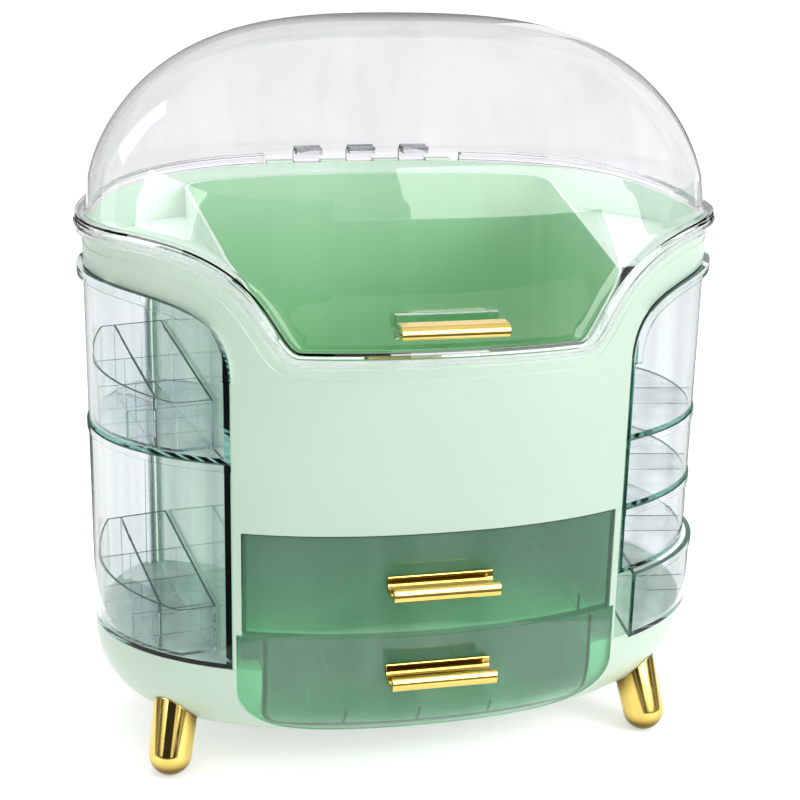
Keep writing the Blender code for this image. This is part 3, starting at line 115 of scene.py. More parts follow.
# Lid
LID_WALL = 2.2 * MM
LID_FLANGE_REACH = 4.5 * MM
LID_FLANGE_HEIGHT = 9.2 * MM
LID_PROFILE_SHARES = ((0.04, 0), (0, 0.4), (0.2, 0.5), (0.06, 0.62), (0.16, 0.94), (0.8, 1), (1, 1.2))
BURIED_SHARE = 0.8
LID_FOOT_INSET = 2.5 * MM
BODY_TOP_RISE = 3.2 * MM
BAND_STEP_DROP = 8 * MM
BAND_STEP_DEPTH = 0.8 * MM
DOME_WALL_RISE = 15 * MM
DOME_SPRING_Z = RIM_REAR_Z + DOME_WALL_RISE
DOME_TOP_Z = 428.5 * MM
DOME_SIDE_POWER = 3.03
DOME_RISE_POWER = 1.74
DOME_SHALLOW_SHARE = 0.1
DOME_LEAN = 9.7 * MM
DOME_RISE_STEPS = 40
DOME_WALL_RINGS = 9
SKY = FAR + DOME_TOP_Z

# Lid hinge
HINGE_BEHIND = 8.5 * MM
HINGE_Y = BODY_HALF_DEPTH + HINGE_BEHIND
HINGE_Z = RIM_REAR_Z
HINGE_BARREL_RADIUS = 4 * MM
HINGE_PIN_RADIUS = 1.5 * MM
HINGE_BORE_RADIUS = 1.58 * MM
HINGE_HALF_LENGTH = 61 * MM
HINGE_KNUCKLES = 7
HINGE_KNUCKLE_GAP = 0.8 * MM
HINGE_LEAF = 3.2 * MM
HINGE_NOTCH_MARGIN = 3 * MM
HINGE_SIDES = 40

# Lid handle: a clear shelf with a gold bar clipped on its edge
LID_SHELF_RISE = 24 * MM
LID_SHELF_Z = RIM_FRONT_Z + LID_SHELF_RISE
LID_SHELF_THICKNESS = 2.4 * MM
LID_SHELF_REACH = 16 * MM
LID_SHELF_FRONT_Y = -BODY_HALF_DEPTH - LID_SHELF_REACH
LID_TAB_WIDTH = 56 * MM
LID_TAB_HEIGHT = 13 * MM
LID_TAB_THICKNESS = 3 * MM
LID_TAB_RISE = 4.4 * MM
LID_BAR_WIDTH = 58 * MM
LID_BAR_HEIGHT = 7.6 * MM
LID_BAR_DEPTH = 12 * MM
LID_BAR_FRONT_Y = LID_SHELF_FRONT_Y - LID_BAR_DEPTH / 3

# Gold ledge pulls
PULL_WIDTH = 60 * MM
PULL_PLATE = 2 * MM
PULL_PLATE_RISE = 9.2 * MM
PULL_REACH = 19.5 * MM
PULL_LIP_HEIGHT = 8.2 * MM
PULL_LIP_DEPTH = 3.6 * MM
PULL_TROUGH_WALL = 2 * MM
PULL_LIP_BULGE = 2.6 * MM
PULL_LIP_STEPS = 24
PULL_LIP_ROUND_SHARE = 0.9
PULL_TROUGH_CORNER = 4 * MM
UPPER_PULL_Z = 126.8 * MM
LOWER_PULL_Z = 73.5 * MM

# Top tray: the well between two partitions and the side decks
DECK_Z = 300 * MM
DECK_THICKNESS = 2 * MM
WELL_FLOOR_Z = 162.2 * MM
WELL_FLOOR_THICKNESS = 2.2 * MM
WELL_WALL = 2 * MM
WELL_SETBACK = 0.6 * MM
WELL_CORNER = 13 * MM
WELL_FRONT_INSET = 6 * MM
WELL_REAR_SPREAD = 5.5 * MM
WELL_FRONT_HALF_WIDTH = TOWER_HALF_WIDTH - WELL_FRONT_INSET
WELL_REAR_HALF_WIDTH = TOWER_HALF_WIDTH + WELL_REAR_SPREAD
WELL_ARC_STEPS = 8
PARTITION_FRONT_Z = 296 * MM
PARTITION_REAR_Z = 321 * MM
TRAY_RIM_DROP = 0.8 * MM
TRAY_CLEARANCE = 0.4 * MM

# Rails that carry the shelf and the top tray
RAIL_WIDTH = 7 * MM
RAIL_HEIGHT = 2.4 * MM
RAIL_FRONT_IN = 29 * MM
RAIL_REAR_IN = 53 * MM

# Shelf between the drawers
DRAWER_SPLIT_Z = 97.7 * MM
SHELF_TOP_Z = DRAWER_SPLIT_Z - SEAT_GAP / 3
SHELF_THICKNESS = 2.2 * MM
SHELF_SETBACK = 9 * MM
SHELF_REAR_IN = 31 * MM

# Drawers
DRAWER_WALL = 2.2 * MM
DRAWER_FLOOR = 2.2 * MM
DRAWER_SETBACK = 0.4 * MM
DRAWER_REAR_IN = 35 * MM
DRAWER_REAR_Y = BODY_HALF_DEPTH - DRAWER_REAR_IN
DRAWER_SIDE_GAP = 0.9 * MM
UPPER_HALF_WIDTH = TOWER_HALF_WIDTH - POST_WIDTH - DRAWER_SIDE_GAP
UPPER_BOTTOM_Z = DRAWER_SPLIT_Z + SEAT_GAP
UPPER_TOP_Z = PANEL_BOTTOM_Z - RUN_GAP
UPPER_RIB_IN = 21.6 * MM
LOWER_IN = 16.5 * MM
LOWER_HALF_WIDTH = TOWER_HALF_WIDTH - LOWER_IN
LOWER_BOTTOM_Z = 38 * MM
LOWER_TOP_GAP = 0.8 * MM
LOWER_TOP_Z = SHELF_TOP_Z - SHELF_THICKNESS - LOWER_TOP_GAP
LOWER_CORNER = 12 * MM
PLATE_IN = 2.2 * MM
PLATE_HALF_WIDTH = TOWER_HALF_WIDTH - PLATE_IN
PLATE_BOTTOM_Z = 30.5 * MM
PLATE_CORNER_WIDTH = 56 * MM
PLATE_CORNER_HEIGHT = 34 * MM
PLATE_THICKNESS = 2.8 * MM
PLATE_RELIEF = 0.4 * MM
LOWER_RIB_SHARES = (-0.53, -0.09, 0.35)
RIB_HEIGHT = 10 * MM
RIB_THICKNESS = 1.6 * MM
RUNNER_IN = 34.5 * MM
RUNNER_THICKNESS = 2.4 * MM
RUNNER_END_IN = 71 * MM
CORNER_STEPS = 14

# Side units and trays
UNIT_WALL = 2.2 * MM
UNIT_FLOOR = 2.2 * MM
UNIT_NOSE_RADIUS = 4.8 * MM
UNIT_HEAD_SPREAD = 2.6 * MM
UNIT_ARC_STEPS = 60
PIVOT_ROD_RADIUS = 1.6 * MM
PIVOT_BORE_RADIUS = 1.95 * MM
PIVOT_SIDES = 32
LEFT_SPLIT_Z = 198.7 * MM
RIGHT_SPLITS_Z = (117 * MM, 157.6 * MM, 199.8 * MM)
TOP_LIP_REACH = 3.6 * MM
TOP_LIP_HEIGHT = 5.5 * MM
TRAY_LIP_REACH = 1 * MM
TRAY_LIP_HEIGHT = 4 * MM
TRAY_RIB_BEHIND_FRONT = 62 * MM
OPEN_TRAY_ANGLE = math.radians(3)

# Lipstick racks
RACK_CLEARANCE = 0.5 * MM
RACK_WALL = 1.4 * MM
RACK_FLOOR = 1.4 * MM
RACK_FRONT = 22 * MM
RACK_REAR_ROOM = 31.6 * MM
RACK_ROWS = 4
RACK_INNER_COLUMN = 27 * MM
RACK_FRONT_HEIGHT = 28 * MM
RACK_REAR_HEIGHT = 45 * MM
RACK_CROSS_FRONT_HEIGHT = 10 * MM
RACK_CROSS_RISE = 7 * MM

# The origin lies midway between the lid bar's front and the hinge's rear
PLAN_SHIFT_Y = -(LID_BAR_FRONT_Y + HINGE_Y + HINGE_BARREL_RADIUS) / 2

# Camera, fitted to the photograph
CAMERA_AZIMUTH = math.radians(-13.36)
CAMERA_ELEVATION = math.radians(17.89)
CAMERA_ROLL = math.radians(1.23)
CAMERA_DISTANCE = 1008.2 * MM
CAMERA_TARGET = (-0.3 * MM, 0, 191.8 * MM)
CAMERA_LENS = 74.58
CAMERA_SENSOR = 36
CAMERA_SHIFT = (0.0052, 0.0182)

# The body that each node rides on
BODIES = {
    "base_bowl": "housing", "body_shell": "housing", "top_tray": "housing", "bay_shelf": "housing",
    "lid_hinge_pin": "housing", "left_pivot_rod": "housing", "right_pivot_rod": "housing",
    "foot_front_left": "housing", "foot_front_right": "housing", "foot_rear_left": "housing",
    "foot_rear_right": "housing", "lid_dome": "lid", "lid_handle_bar": "lid",
    "upper_drawer": "upper_drawer", "upper_drawer_pull": "upper_drawer",
    "lower_drawer": "lower_drawer", "lower_drawer_pull": "lower_drawer",
    "left_upper_unit": "left_upper", "left_upper_rack": "left_upper",
    "left_lower_unit": "left_lower", "left_lower_rack": "left_lower",
    "right_tray_1": "tray_1", "right_tray_2": "tray_2", "right_tray_3": "tray_3", "right_tray_4": "tray_4"}

# Slots of the nodes that aren't clear plastic
SLOTS = {
    "mint_plastic": ("base_bowl", "body_shell", "top_tray", "bay_shelf"),
    "tinted_plastic": ("upper_drawer", "lower_drawer"),
    "gold_plate": ("lid_handle_bar", "upper_drawer_pull", "lower_drawer_pull", "foot_front_left",
                   "foot_front_right", "foot_rear_left", "foot_rear_right"),
    "steel": ("lid_hinge_pin", "left_pivot_rod", "right_pivot_rod")}

# Where a second material starts on a piece
SHARP_ANGLE = math.radians(32)
LEVEL_SHARE = 0.3
UPWARD_SHARE = 0.7
SIDEWAYS_SHARE = 0.9
RIM_WIDTH = 2.3 * MM
UNIT_RIM_RISE = 5 * MM
DRAWER_RIM_RISE = 30 * MM
BAY_WALL_SPAN = (95 * MM, 135 * MM)
KNUCKLE_START_Y = 104 * MM

# Materials
EDGE_RADIUS = 0.7 * MM
GOLD_EDGE_RADIUS = 0.5 * MM
GRAIN_DEPTH = 0.02 * MM
# Reach of the painted shade in the gold's hollows
GOLD_SHADE_DISTANCE = 14 * MM
PLASTIC_IOR = 1.46
STREAK_SQUEEZE = (1, 1, 0.04)
STREAK_SPAN = (0.38, 0.6)
DRIFT_SPAN = (0.2, 0.8)
GLOSS_SPAN = (0.3, 0.7)
# Ramp and colour of the painted shade in the gold's hollows
GOLD_SHADE_SPAN = (0.6, 0.98)
GOLD_PAINTED_SHADE = (0.16, 0.10, 0.012, 1)
# Painted shade of the well: its colour at the floor and higher up, its random drift and its ramp
LINER_PAINTED_SHADE = (0.17, 0.56, 0.20)
LINER_PALE = (0.39, 0.71, 0.43)
LINER_DRIFT = 0.12
LINER_SPAN = (0.1, 1.0)
WHITE = (1, 1, 1, 1)
DARK = (0.012, 0.014, 0.012)
PALE = (0.82, 0.82, 0.82)

# Cards round the set that only mirror rays see: azimuth and spread in degrees, low edge, high edge
# at its left and its right end, glow
CARD_DISTANCE = 2.2
CARDS = {
    "window": (37, 59, 0.2, 2.5, 1.4, 7.0), "left_strip": (-118, 14, 1.1, 2.4, 2.4, 4.5),
    "left_window": (-70, 36, 0.3, 1.5, 1.5, 8.0),
    "flag_front": (-30, 40, 0.0, 1.5, 1.5, 0.0), "flag_right": (100, 34, 0.0, 0.4, 0.4, 0.0),
    "flag_left": (-98, 20, 0.0, 0.9, 0.9, 0.0), "flag_rear": (180, 42, 0.0, 1.3, 1.3, 0.0),
    "flag_rear_right": (142, 18, 0.0, 1.3, 1.3, 0.0), "flag_rear_left": (-143, 30, 0.0, 1.3, 1.3, 0.0),
    "wall_rear": (180, 64, 1.3, 3.3, 3.3, 0.4), "wall_rear_left": (-136, 22, 1.3, 2.9, 2.9, 0.4)}

# Rings on the floor that only mirror rays see: lower and upper radius, height, middle height, glow
RING_SIDES = 48
RINGS = {"skirting": (CARD_DISTANCE * 1.1, CARD_DISTANCE * 1.1, 160 * MM, 80 * MM, 0.0),
         "floor_ring": (330 * MM, 1400 * MM, 2 * MM, 2 * MM, 0.12)}

# Lamps: place, size and power
LAMPS = {"key": ((1.3, -1.2, 1.3), (0.9, 0.9), 17), "top": ((-0.2, 0.2, 1.7), (1.2, 0.8), 8)}
LAMP_TARGET = Vector((0, 0, 0.2))
WORLD_FILL = 0.85
FLOOR_LIFT = 0.5
FLOOR_REACH = 12


def steps_between(start, end, steps):
    return [start + (end - start) * i / steps for i in range(steps + 1)]


def arc(middle, radius, start, turn, rise=None, steps=CORNER_STEPS):
    """Points on an arc in a plane, both ends included. With a rise it is part of an ellipse."""
    return [(middle[0] + radius * math.cos(a), middle[1] + (rise or radius) * math.sin(a))
            for a in steps_between(start, start + turn, steps)]


def oval(half_width, half_depth, angle):
    c, s = math.cos(angle), math.sin(angle)
    x = half_width * math.copysign(abs(c) ** (2 / OVAL_POWER), c)
    y = half_depth * math.copysign(abs(s) ** (2 / OVAL_POWER), s)
    return x, y


def oval_y(x, inset=0.0):
    """Depth of the oval behind the middle at this x."""
    share = min(abs(x) / (BODY_HALF_WIDTH - inset), 1.0)
    return (BODY_HALF_DEPTH - inset) * (1 - share ** OVAL_POWER) ** (1 / OVAL_POWER)


def oval_edge(half, inset, steps=UNIT_ARC_STEPS):
    """Front of the inset oval, from left to right."""
    return [(x, -oval_y(x, inset)) for x in steps_between(-half, half, steps)]


def station_angles():
    """Angles round the oval, anticlockwise from +X, closer together where the rim rises."""
    rear, front = ([math.acos(share ** (OVAL_POWER / 2)) for share in shares]
                   for shares in (REAR_STATION_SHARES, FRONT_STATION_SHARES))
    quarter = [0.0] + rear + [QUARTER]
    coarse = quarter + [math.pi - a for a in reversed(quarter[:-1])]
    coarse += [math.pi + a for a in reversed(front)] + [CIRCLE - a for a in front[1:]]
    return [angle for a, b in zip(coarse, coarse[1:] + [CIRCLE])
            for angle in steps_between(a, b, STATION_SPLITS)[:-1]]


STATIONS = station_angles()


def bezier(p0, p1, p2, p3, steps):
    points = []
    for t in steps_between(0, 1, steps):
        weights = ((1 - t) ** 3, 3 * t * (1 - t) ** 2, 3 * t * t * (1 - t), t ** 3)
        points.append(tuple(sum(w * p[j] for w, p in zip(weights, (p0, p1, p2, p3))) for j in (0, 1)))
    return points


RIM_CURVE = bezier((TOWER_HALF_WIDTH - RIM_FLAT_IN, RIM_FRONT_Z),
                   (TOWER_HALF_WIDTH - RIM_PULL_IN, RIM_FRONT_Z),
                   (TOWER_HALF_WIDTH - RIM_RISE_IN, RIM_RISE_Z),
                   (BODY_HALF_WIDTH - RIM_SIDE_IN, RIM_SIDE_Z), 4 * CURVE_STEPS)
ARCH_CURVE = bezier((TOWER_HALF_WIDTH, ARCH_FOOT_Z), (TOWER_HALF_WIDTH, ARCH_PULL_Z),
                    (BODY_HALF_WIDTH - ARCH_SHOULDER_IN, ARCH_SHOULDER_Z), (BODY_HALF_WIDTH, ARCH_SIDE_Z),
                    CURVE_STEPS)


def height_on(line, x):
    return float(np.interp(x, [p[0] for p in line], [p[1] for p in line]))


def offset_line(points, distance):
    """Offset an open line to the left of its direction."""
    moved = []
    for i, point in enumerate(points):
        before, after = Vector(points[max(i - 1, 0)]), Vector(points[min(i + 1, len(points) - 1)])
        along = (after - before).normalized()
        moved.append((point[0] - along.y * distance, point[1] + along.x * distance))
    return moved


def rim_z(x, y, rise=0.0):
    """Lower edge of the lid's rim, or a line square above it: it dips at the front and climbs behind."""
    if y < 0:
        return height_on(offset_line(RIM_CURVE, rise), abs(x))
    share = min(y / BODY_HALF_DEPTH, 1.0)
    return RIM_SIDE_Z + rise + (RIM_REAR_Z - RIM_SIDE_Z) * share * share * (3 - 2 * share)


def mesh_object(mesh, name="solid"):
    made = bpy.data.objects.new(name, mesh)
    PARTS.objects.link(made)
    return made


def from_bmesh(bm, name="solid"):
    bmesh.ops.recalc_face_normals(bm, faces=bm.faces)
    mesh = bpy.data.meshes.new(name)
    bm.to_mesh(mesh)
    bm.free()
    return mesh_object(mesh, name)


def skin(rings, closed=False):
    """Faces between rings of equal count, and the rings' points."""
    bm = bmesh.new()
    rows = [[bm.verts.new(p) for p in ring] for ring in rings]
    for lower, upper in zip(rows, rows[1:] + (rows[:1] if closed else [])):
        for i in range(len(lower)):
            j = (i + 1) % len(lower)
            bm.faces.new((lower[i], lower[j], upper[j], upper[i]))
    return bm, rows


def loft(rings, closed=False):
    """Solid through rings. The ends are capped unless the rings close on themselves."""
    bm, rows = skin(rings, closed)
    if not closed:
        bm.faces.new(rows[0][::-1])
        bm.faces.new(rows[-1])
    return from_bmesh(bm)


def evaluated_mesh(item):
    bpy.context.view_layer.update()
    return bpy.data.meshes.new_from_object(item.evaluated_get(bpy.context.evaluated_depsgraph_get()))


def weld(mesh, last_step):
    """Join points that lie closer than any fit, then take the last step."""
    bm = bmesh.new()
    bm.from_mesh(mesh)
    bmesh.ops.remove_doubles(bm, verts=bm.verts, dist=WELD)
    last_step(bm)
    bm.to_mesh(mesh)
    bm.free()


def outline_solid(points, low, high, across="Z"):
    """Flat outline filled and thickened along one axis: X (points are y, z), Y (x, z) or Z (x, y)."""
    curve = bpy.data.curves.new("outline", "CURVE")
    curve.dimensions = "2D"
    curve.fill_mode = "BOTH"
    curve.extrude = (high - low) / 2
    line = curve.splines.new("POLY")
    line.points.add(len(points) - 1)
    for spot, point in zip(line.points, points):
        spot.co = (point[0], point[1], 0, 1)
    line.use_cyclic_u = True
    drawn = bpy.data.objects.new("outline", curve)
    bpy.context.scene.collection.objects.link(drawn)
    mesh = evaluated_mesh(drawn)
    bpy.data.objects.remove(drawn, do_unlink=True)
    turns = {"X": Matrix(((0, 0, 1, 0), (1, 0, 0, 0), (0, 1, 0, 0), (0, 0, 0, 1))),
             "Y": Matrix.Rotation(QUARTER, 4, "X"), "Z": Matrix()}
    middle = [(low + high) / 2 if axis == across else 0 for axis in "XYZ"]
    mesh.transform(Matrix.Translation(middle) @ turns[across])
    weld(mesh, lambda bm: bmesh.ops.recalc_face_normals(bm, faces=bm.faces))
    return mesh_object(mesh)


def box(low, high):
    bm = bmesh.new()
    bmesh.ops.create_cube(bm, size=1)
    bmesh.ops.scale(bm, vec=[h - l for l, h in zip(low, high)], verts=bm.verts)
    bmesh.ops.translate(bm, vec=[(l + h) / 2 for l, h in zip(low, high)], verts=bm.verts)
    return from_bmesh(bm)


def facing(along):
    """Turn of the Z axis towards a direction."""
    return along.to_track_quat("Z", "Y").to_matrix().to_4x4()


def rod(start, end, radius, sides):
    """Round bar from one point to another."""
    start, end = Vector(start), Vector(end)
    bm = bmesh.new()
    bmesh.ops.create_cone(bm, cap_ends=True, segments=sides, radius1=radius, radius2=radius,
                          depth=(end - start).length)
    place = Matrix.Translation((start + end) / 2) @ facing(end - start)
    bmesh.ops.transform(bm, matrix=place, verts=bm.verts)
    return from_bmesh(bm)


def combine(operation, target, *tools):
    """Booleans worked out at once. The tools are used up."""
    for tool in tools:
        step = target.modifiers.new("boolean", "BOOLEAN")
        step.operation = operation
        step.solver = "EXACT"
        step.object = tool
        mesh = evaluated_mesh(target)
        weld(mesh, lambda bm: bmesh.ops.dissolve_degenerate(bm, edges=bm.edges, dist=WELD))
        target.modifiers.clear()
        target.data = mesh
        bpy.data.objects.remove(tool, do_unlink=True)
    return target


def cut(target, *tools):
    return combine("DIFFERENCE", target, *tools)


def join(target, *tools):
    return combine("UNION", target, *tools)


def keep_inside(target, *tools):
    return combine("INTERSECT", target, *tools)


def grow(points, distance):
    """Offset a closed anticlockwise outline outwards, mitred. An edge that would turn round is dropped."""
    count = len(points)
    grown, bends = [], []
    for i in range(count):
        before, here, after = (Vector(points[k % count]) for k in (i - 1, i, i + 1))
        first, second = (here - before).normalized(), (after - here).normalized()
        n1, n2 = Vector((first.y, -first.x)), Vector((second.y, -second.x))
        grown.append(tuple(here + (n1 + n2) / (1 + n1.dot(n2)) * distance))
        bends.append(n1.dot(n2))
    for i in range(count):
        j = (i + 1) % count
        before, after = Vector(points[j]) - Vector(points[i]), Vector(grown[j]) - Vector(grown[i])
        if before.dot(after) <= 0:
            flatter = i if bends[i] > bends[j] else j
            return grow(points[:flatter] + points[flatter + 1:], distance)
    return grown


def round_corners(points, radius, corners):
    """Round these corners of a closed outline."""
    rounded = []
    for i, point in enumerate(points):
        if i not in corners:
            rounded.append(point)
            continue
        before, here, after = (Vector(points[k % len(points)]) for k in (i - 1, i, i + 1))
        start = here + (before - here).normalized() * radius
        end = here + (after - here).normalized() * radius
        for t in steps_between(0, 1, CORNER_STEPS):
            rounded.append(tuple(start * (1 - t) ** 2 + here * 2 * t * (1 - t) + end * t * t))
    return rounded


def mirrored(points, side):
    return [(side * x, y) for x, y in points][::side]


def oval_ring(inset, z, stations=STATIONS):
    """Ring of stations at this inset. z is a height or a function of the outer x and y."""
    ring = []
    for angle in stations:
        x, y = oval(BODY_HALF_WIDTH - inset, BODY_HALF_DEPTH - inset, angle)
        outer = oval(BODY_HALF_WIDTH, BODY_HALF_DEPTH, angle)
        ring.append((x, y, z(*outer) if callable(z) else z))
    return ring


def oval_solid(inset, low, high):
    return loft([oval_ring(inset, low), oval_ring(inset, high)])


def over_rim(rise, inner, stations=STATIONS):
    """Ring of space over a line parallel to the rim, from this inset outwards."""
    def low(x, y):
        return rim_z(x, y, rise)

    outer, top = -BODY_HALF_DEPTH / 4, DOME_TOP_Z + OVERRUN * 2
    section = ((inner, low), (outer, low), (outer, top), (inner, top))
    return loft([oval_ring(inset, z, stations) for inset, z in section], closed=True)


def above_rim(rise):
    """Everything above the wavy rim, as a wide ring that cuts walls to it."""
    between = [(a + b) / 2 for a, b in zip(STATIONS, STATIONS[1:] + [CIRCLE])]
    return over_rim(rise, BODY_HALF_DEPTH / 2, between)


def tower_wall(inset=0.0):
    """Outer face of the right tower wall in plan: its front and rear ends, its run and the way outwards."""
    rear_x = TOWER_HALF_WIDTH + TOWER_FLARE
    front, rear = Vector((TOWER_HALF_WIDTH, -oval_y(TOWER_HALF_WIDTH))), Vector((rear_x, oval_y(rear_x)))
    along = (rear - front).normalized()
    outwards = Vector((along.y, -along.x))
    return front - outwards * inset, rear - outwards * inset, along, outwards


def beside(near, far, side):
    """Plan of all that lies outside a line."""
    return mirrored([tuple(near), (near.x + 2 * FAR, near.y), (far.x + 2 * FAR, far.y), tuple(far)], side)


def under_arch(side, inset, low):
    """Space under the band's lower edge, or under a line inside or outside it."""
    arch = offset_line(ARCH_CURVE, inset)
    outline = [(arch[0][0], low)] + arch + [(FAR, arch[-1][1]), (FAR, low)]
    return outline_solid(mirrored(outline, side), -FAR, FAR, "Y")


def side_bay(side, inset):
    """Space beside the tower that the side units fill, grown by inset into the walls round it."""
    front, rear, along, _ = tower_wall(inset)
    plan = beside(front - along * FAR, rear + along * FAR, side)
    return keep_inside(under_arch(side, inset, BASE_TOP_Z - OVERRUN), outline_solid(plan, 0, SKY))


def slot_block(half_width, low, high, corner, corner_height=None, rear=FAR):
    """Block with both lower corners rounded, seen from the front, to a circle or an ellipse."""
    height = corner_height or corner
    points = [(-half_width, high), (-half_width, low + height)]
    points += arc((corner - half_width, low + height), corner, math.pi, QUARTER, height)
    points += arc((half_width - corner, low + height), corner, 3 * QUARTER, QUARTER, height)
    points += [(half_width, low + height), (half_width, high)]
    kept = points[:1]
    for point in points[1:]:
        if (Vector(point) - Vector(kept[-1])).length > SEAT_GAP:
            kept.append(point)
    return outline_solid(kept, -FAR, rear, "Y")


def bowl(inset, floor, top):
    """Oval bowl, straight at its rim and rounded underneath."""
    side = BASE_TOP_Z - BASE_RIM_DEPTH
    drop = side - BASE_BOTTOM_Z - floor
    power = 2 / BASE_ROUND_POWER
    rings = [oval_ring(inset + BASE_ROUND_INSET, side - drop)]
    for a in steps_between(0, QUARTER, BASE_ROUND_STEPS)[-2::-1]:
        inwards = BASE_ROUND_INSET * (1 - math.cos(a) ** power)
        rings.append(oval_ring(inset + inwards, side - drop * math.sin(a) ** power))
    return loft(rings + [oval_ring(inset, top)])


def bowl_core(inset):
    """The body's outer form at this inset, up to the dome's top."""
    return bowl(inset, inset, DOME_TOP_Z)


def plate_rebate():
    """Shallow recess in the oval face that the lower drawer's wide front drops into."""
    space = slot_block(PLATE_HALF_WIDTH + RUN_GAP, PLATE_BOTTOM_Z - RUN_GAP, UPPER_BOTTOM_Z,
                       PLATE_CORNER_WIDTH, PLATE_CORNER_HEIGHT, rear=-BODY_HALF_DEPTH / 2)
    return cut(space, bowl_core(PLATE_THICKNESS + DRAWER_SETBACK + RUN_GAP))


def base_bowl():
    made = bowl(0, 0, BASE_TOP_Z)
    half = TOWER_HALF_WIDTH - RAIL_WIDTH
    tower_mouth = box((-half, -BODY_HALF_DEPTH / 2 - OVERRUN * 2, BASE_TOP_Z - BASE_WALL - OVERRUN),
                      (half, DRAWER_REAR_Y + SHELL_WALL, BASE_TOP_Z + OVERRUN))
    drawer_mouth = slot_block(LOWER_HALF_WIDTH + RUN_GAP, LOWER_BOTTOM_Z - RUN_GAP, UPPER_BOTTOM_Z,
                              LOWER_CORNER, rear=-BODY_HALF_DEPTH / 4)
    hollow = bowl(BASE_WALL, BASE_FLOOR, BASE_TOP_Z - SHELL_WALL)
    cut(made, hollow, tower_mouth, drawer_mouth, plate_rebate())
    half, reach = RUNNER_THICKNESS / 2, BODY_HALF_DEPTH - RUNNER_END_IN
    for x in (RUNNER_IN - LOWER_HALF_WIDTH, LOWER_HALF_WIDTH - RUNNER_IN):
        join(made, box((x - half, -reach, BASE_BOTTOM_Z + BASE_FLOOR / 2),
                       (x + half, reach, LOWER_BOTTOM_Z - SEAT_GAP)))
    return made


def foot(side, depth):
    """Splayed and raked gold foot: a tapered bar with a rounded tip, cut to the bowl and the ground."""
    lean = Vector((side * math.tan(FOOT_SPLAY), depth * math.tan(FOOT_RAKE), -1)).normalized()
    tip = Vector((side * (BODY_HALF_WIDTH - FOOT_INSET_X), depth * (BODY_HALF_DEPTH - FOOT_INSET_Y),
                  FOOT_TIP_RADIUS - FOOT_SOLE_DEPTH))
    place = Matrix.Translation(tip) @ facing(lean)
    profile = [(FOOT_RADIUS, -FOOT_LENGTH)]
    profile += arc((0, 0), FOOT_TIP_RADIUS, 0, QUARTER, steps=FOOT_ROUND_STEPS)[:-1]
    angles = [(i + 0.5) / FOOT_SIDES * CIRCLE for i in range(FOOT_SIDES)]
    made = loft([[place @ Vector((radius * math.cos(a), radius * math.sin(a), reach)) for a in angles]
                 for radius, reach in profile])
    reach = Vector((FOOT_RADIUS * 2, FOOT_RADIUS * 2))
    ground = box((*(tip.xy - reach), -OVERRUN), (*(tip.xy + reach), 0))
    return cut(made, bowl(-SEAT_GAP, -SEAT_GAP, BASE_TOP_Z + FAR), ground)


def wall_rail(side, top):
    """Rail along the inside of a tower wall."""
    front, _, along, _ = tower_wall(SHELL_WALL / 2)
    inner = TOWER_HALF_WIDTH - SHELL_WALL - RAIL_WIDTH
    ends = (RAIL_FRONT_IN - BODY_HALF_DEPTH, BODY_HALF_DEPTH - RAIL_REAR_IN)
    outer = [(front.x + (y - front.y) * along.x / along.y, y) for y in ends]
    plan = [(inner, ends[0])] + outer + [(inner, ends[1])]
    return outline_solid(mirrored(plan, side), top - RAIL_HEIGHT, top)


def knuckle_spans(lid_side):
    """Stretches of x held by the lid's knuckles, or else by the body's."""
    pitch = 2 * HINGE_HALF_LENGTH / HINGE_KNUCKLES
    for i in range(HINGE_KNUCKLES):
        if (i % 2 == 1) == lid_side:
            low = -HINGE_HALF_LENGTH + i * pitch
            yield low + HINGE_KNUCKLE_GAP / 2, low + pitch - HINGE_KNUCKLE_GAP / 2


def hinge_rod(low, high, radius):
    return rod((low, HINGE_Y, HINGE_Z), (high, HINGE_Y, HINGE_Z), radius, HINGE_SIDES)


def hinge_bore():
    reach = HINGE_HALF_LENGTH + OVERRUN
    return hinge_rod(-reach, reach, HINGE_BORE_RADIUS)


def body_bracket(low, high):
    """Knuckle on the rear wall, carried by a wedge."""
    wall = oval_y(HINGE_HALF_LENGTH) - OVERRUN / 2
    nose = HINGE_BARREL_RADIUS / 2
    wedge = [(wall, HINGE_Z - 5 * HINGE_BARREL_RADIUS), (HINGE_Y + nose, HINGE_Z - nose),
             (HINGE_Y, HINGE_Z), (wall, HINGE_Z)]
    return join(outline_solid(wedge, low, high, "X"), hinge_rod(low, high, HINGE_BARREL_RADIUS))


def lid_lug(low, high):
    """Knuckle of the lid, with a leaf that rises over the rim to the dome."""
    top = RIM_REAR_Z + LID_FLANGE_HEIGHT
    inner = oval_y(max(abs(low), abs(high)), LID_FOOT_INSET) - LID_WALL * 2 / 3
    front, rear = HINGE_Y - HINGE_LEAF / 4, HINGE_Y + HINGE_LEAF * 3 / 4
    leaf = [(front, HINGE_Z), (rear, HINGE_Z), (rear, top), (front, top + HINGE_LEAF),
            (inner, top + HINGE_LEAF), (inner, top - LID_WALL / 2), (front, top - LID_WALL / 2)]
    return join(outline_solid(leaf, low, high, "X"), hinge_rod(low, high, HINGE_BARREL_RADIUS))


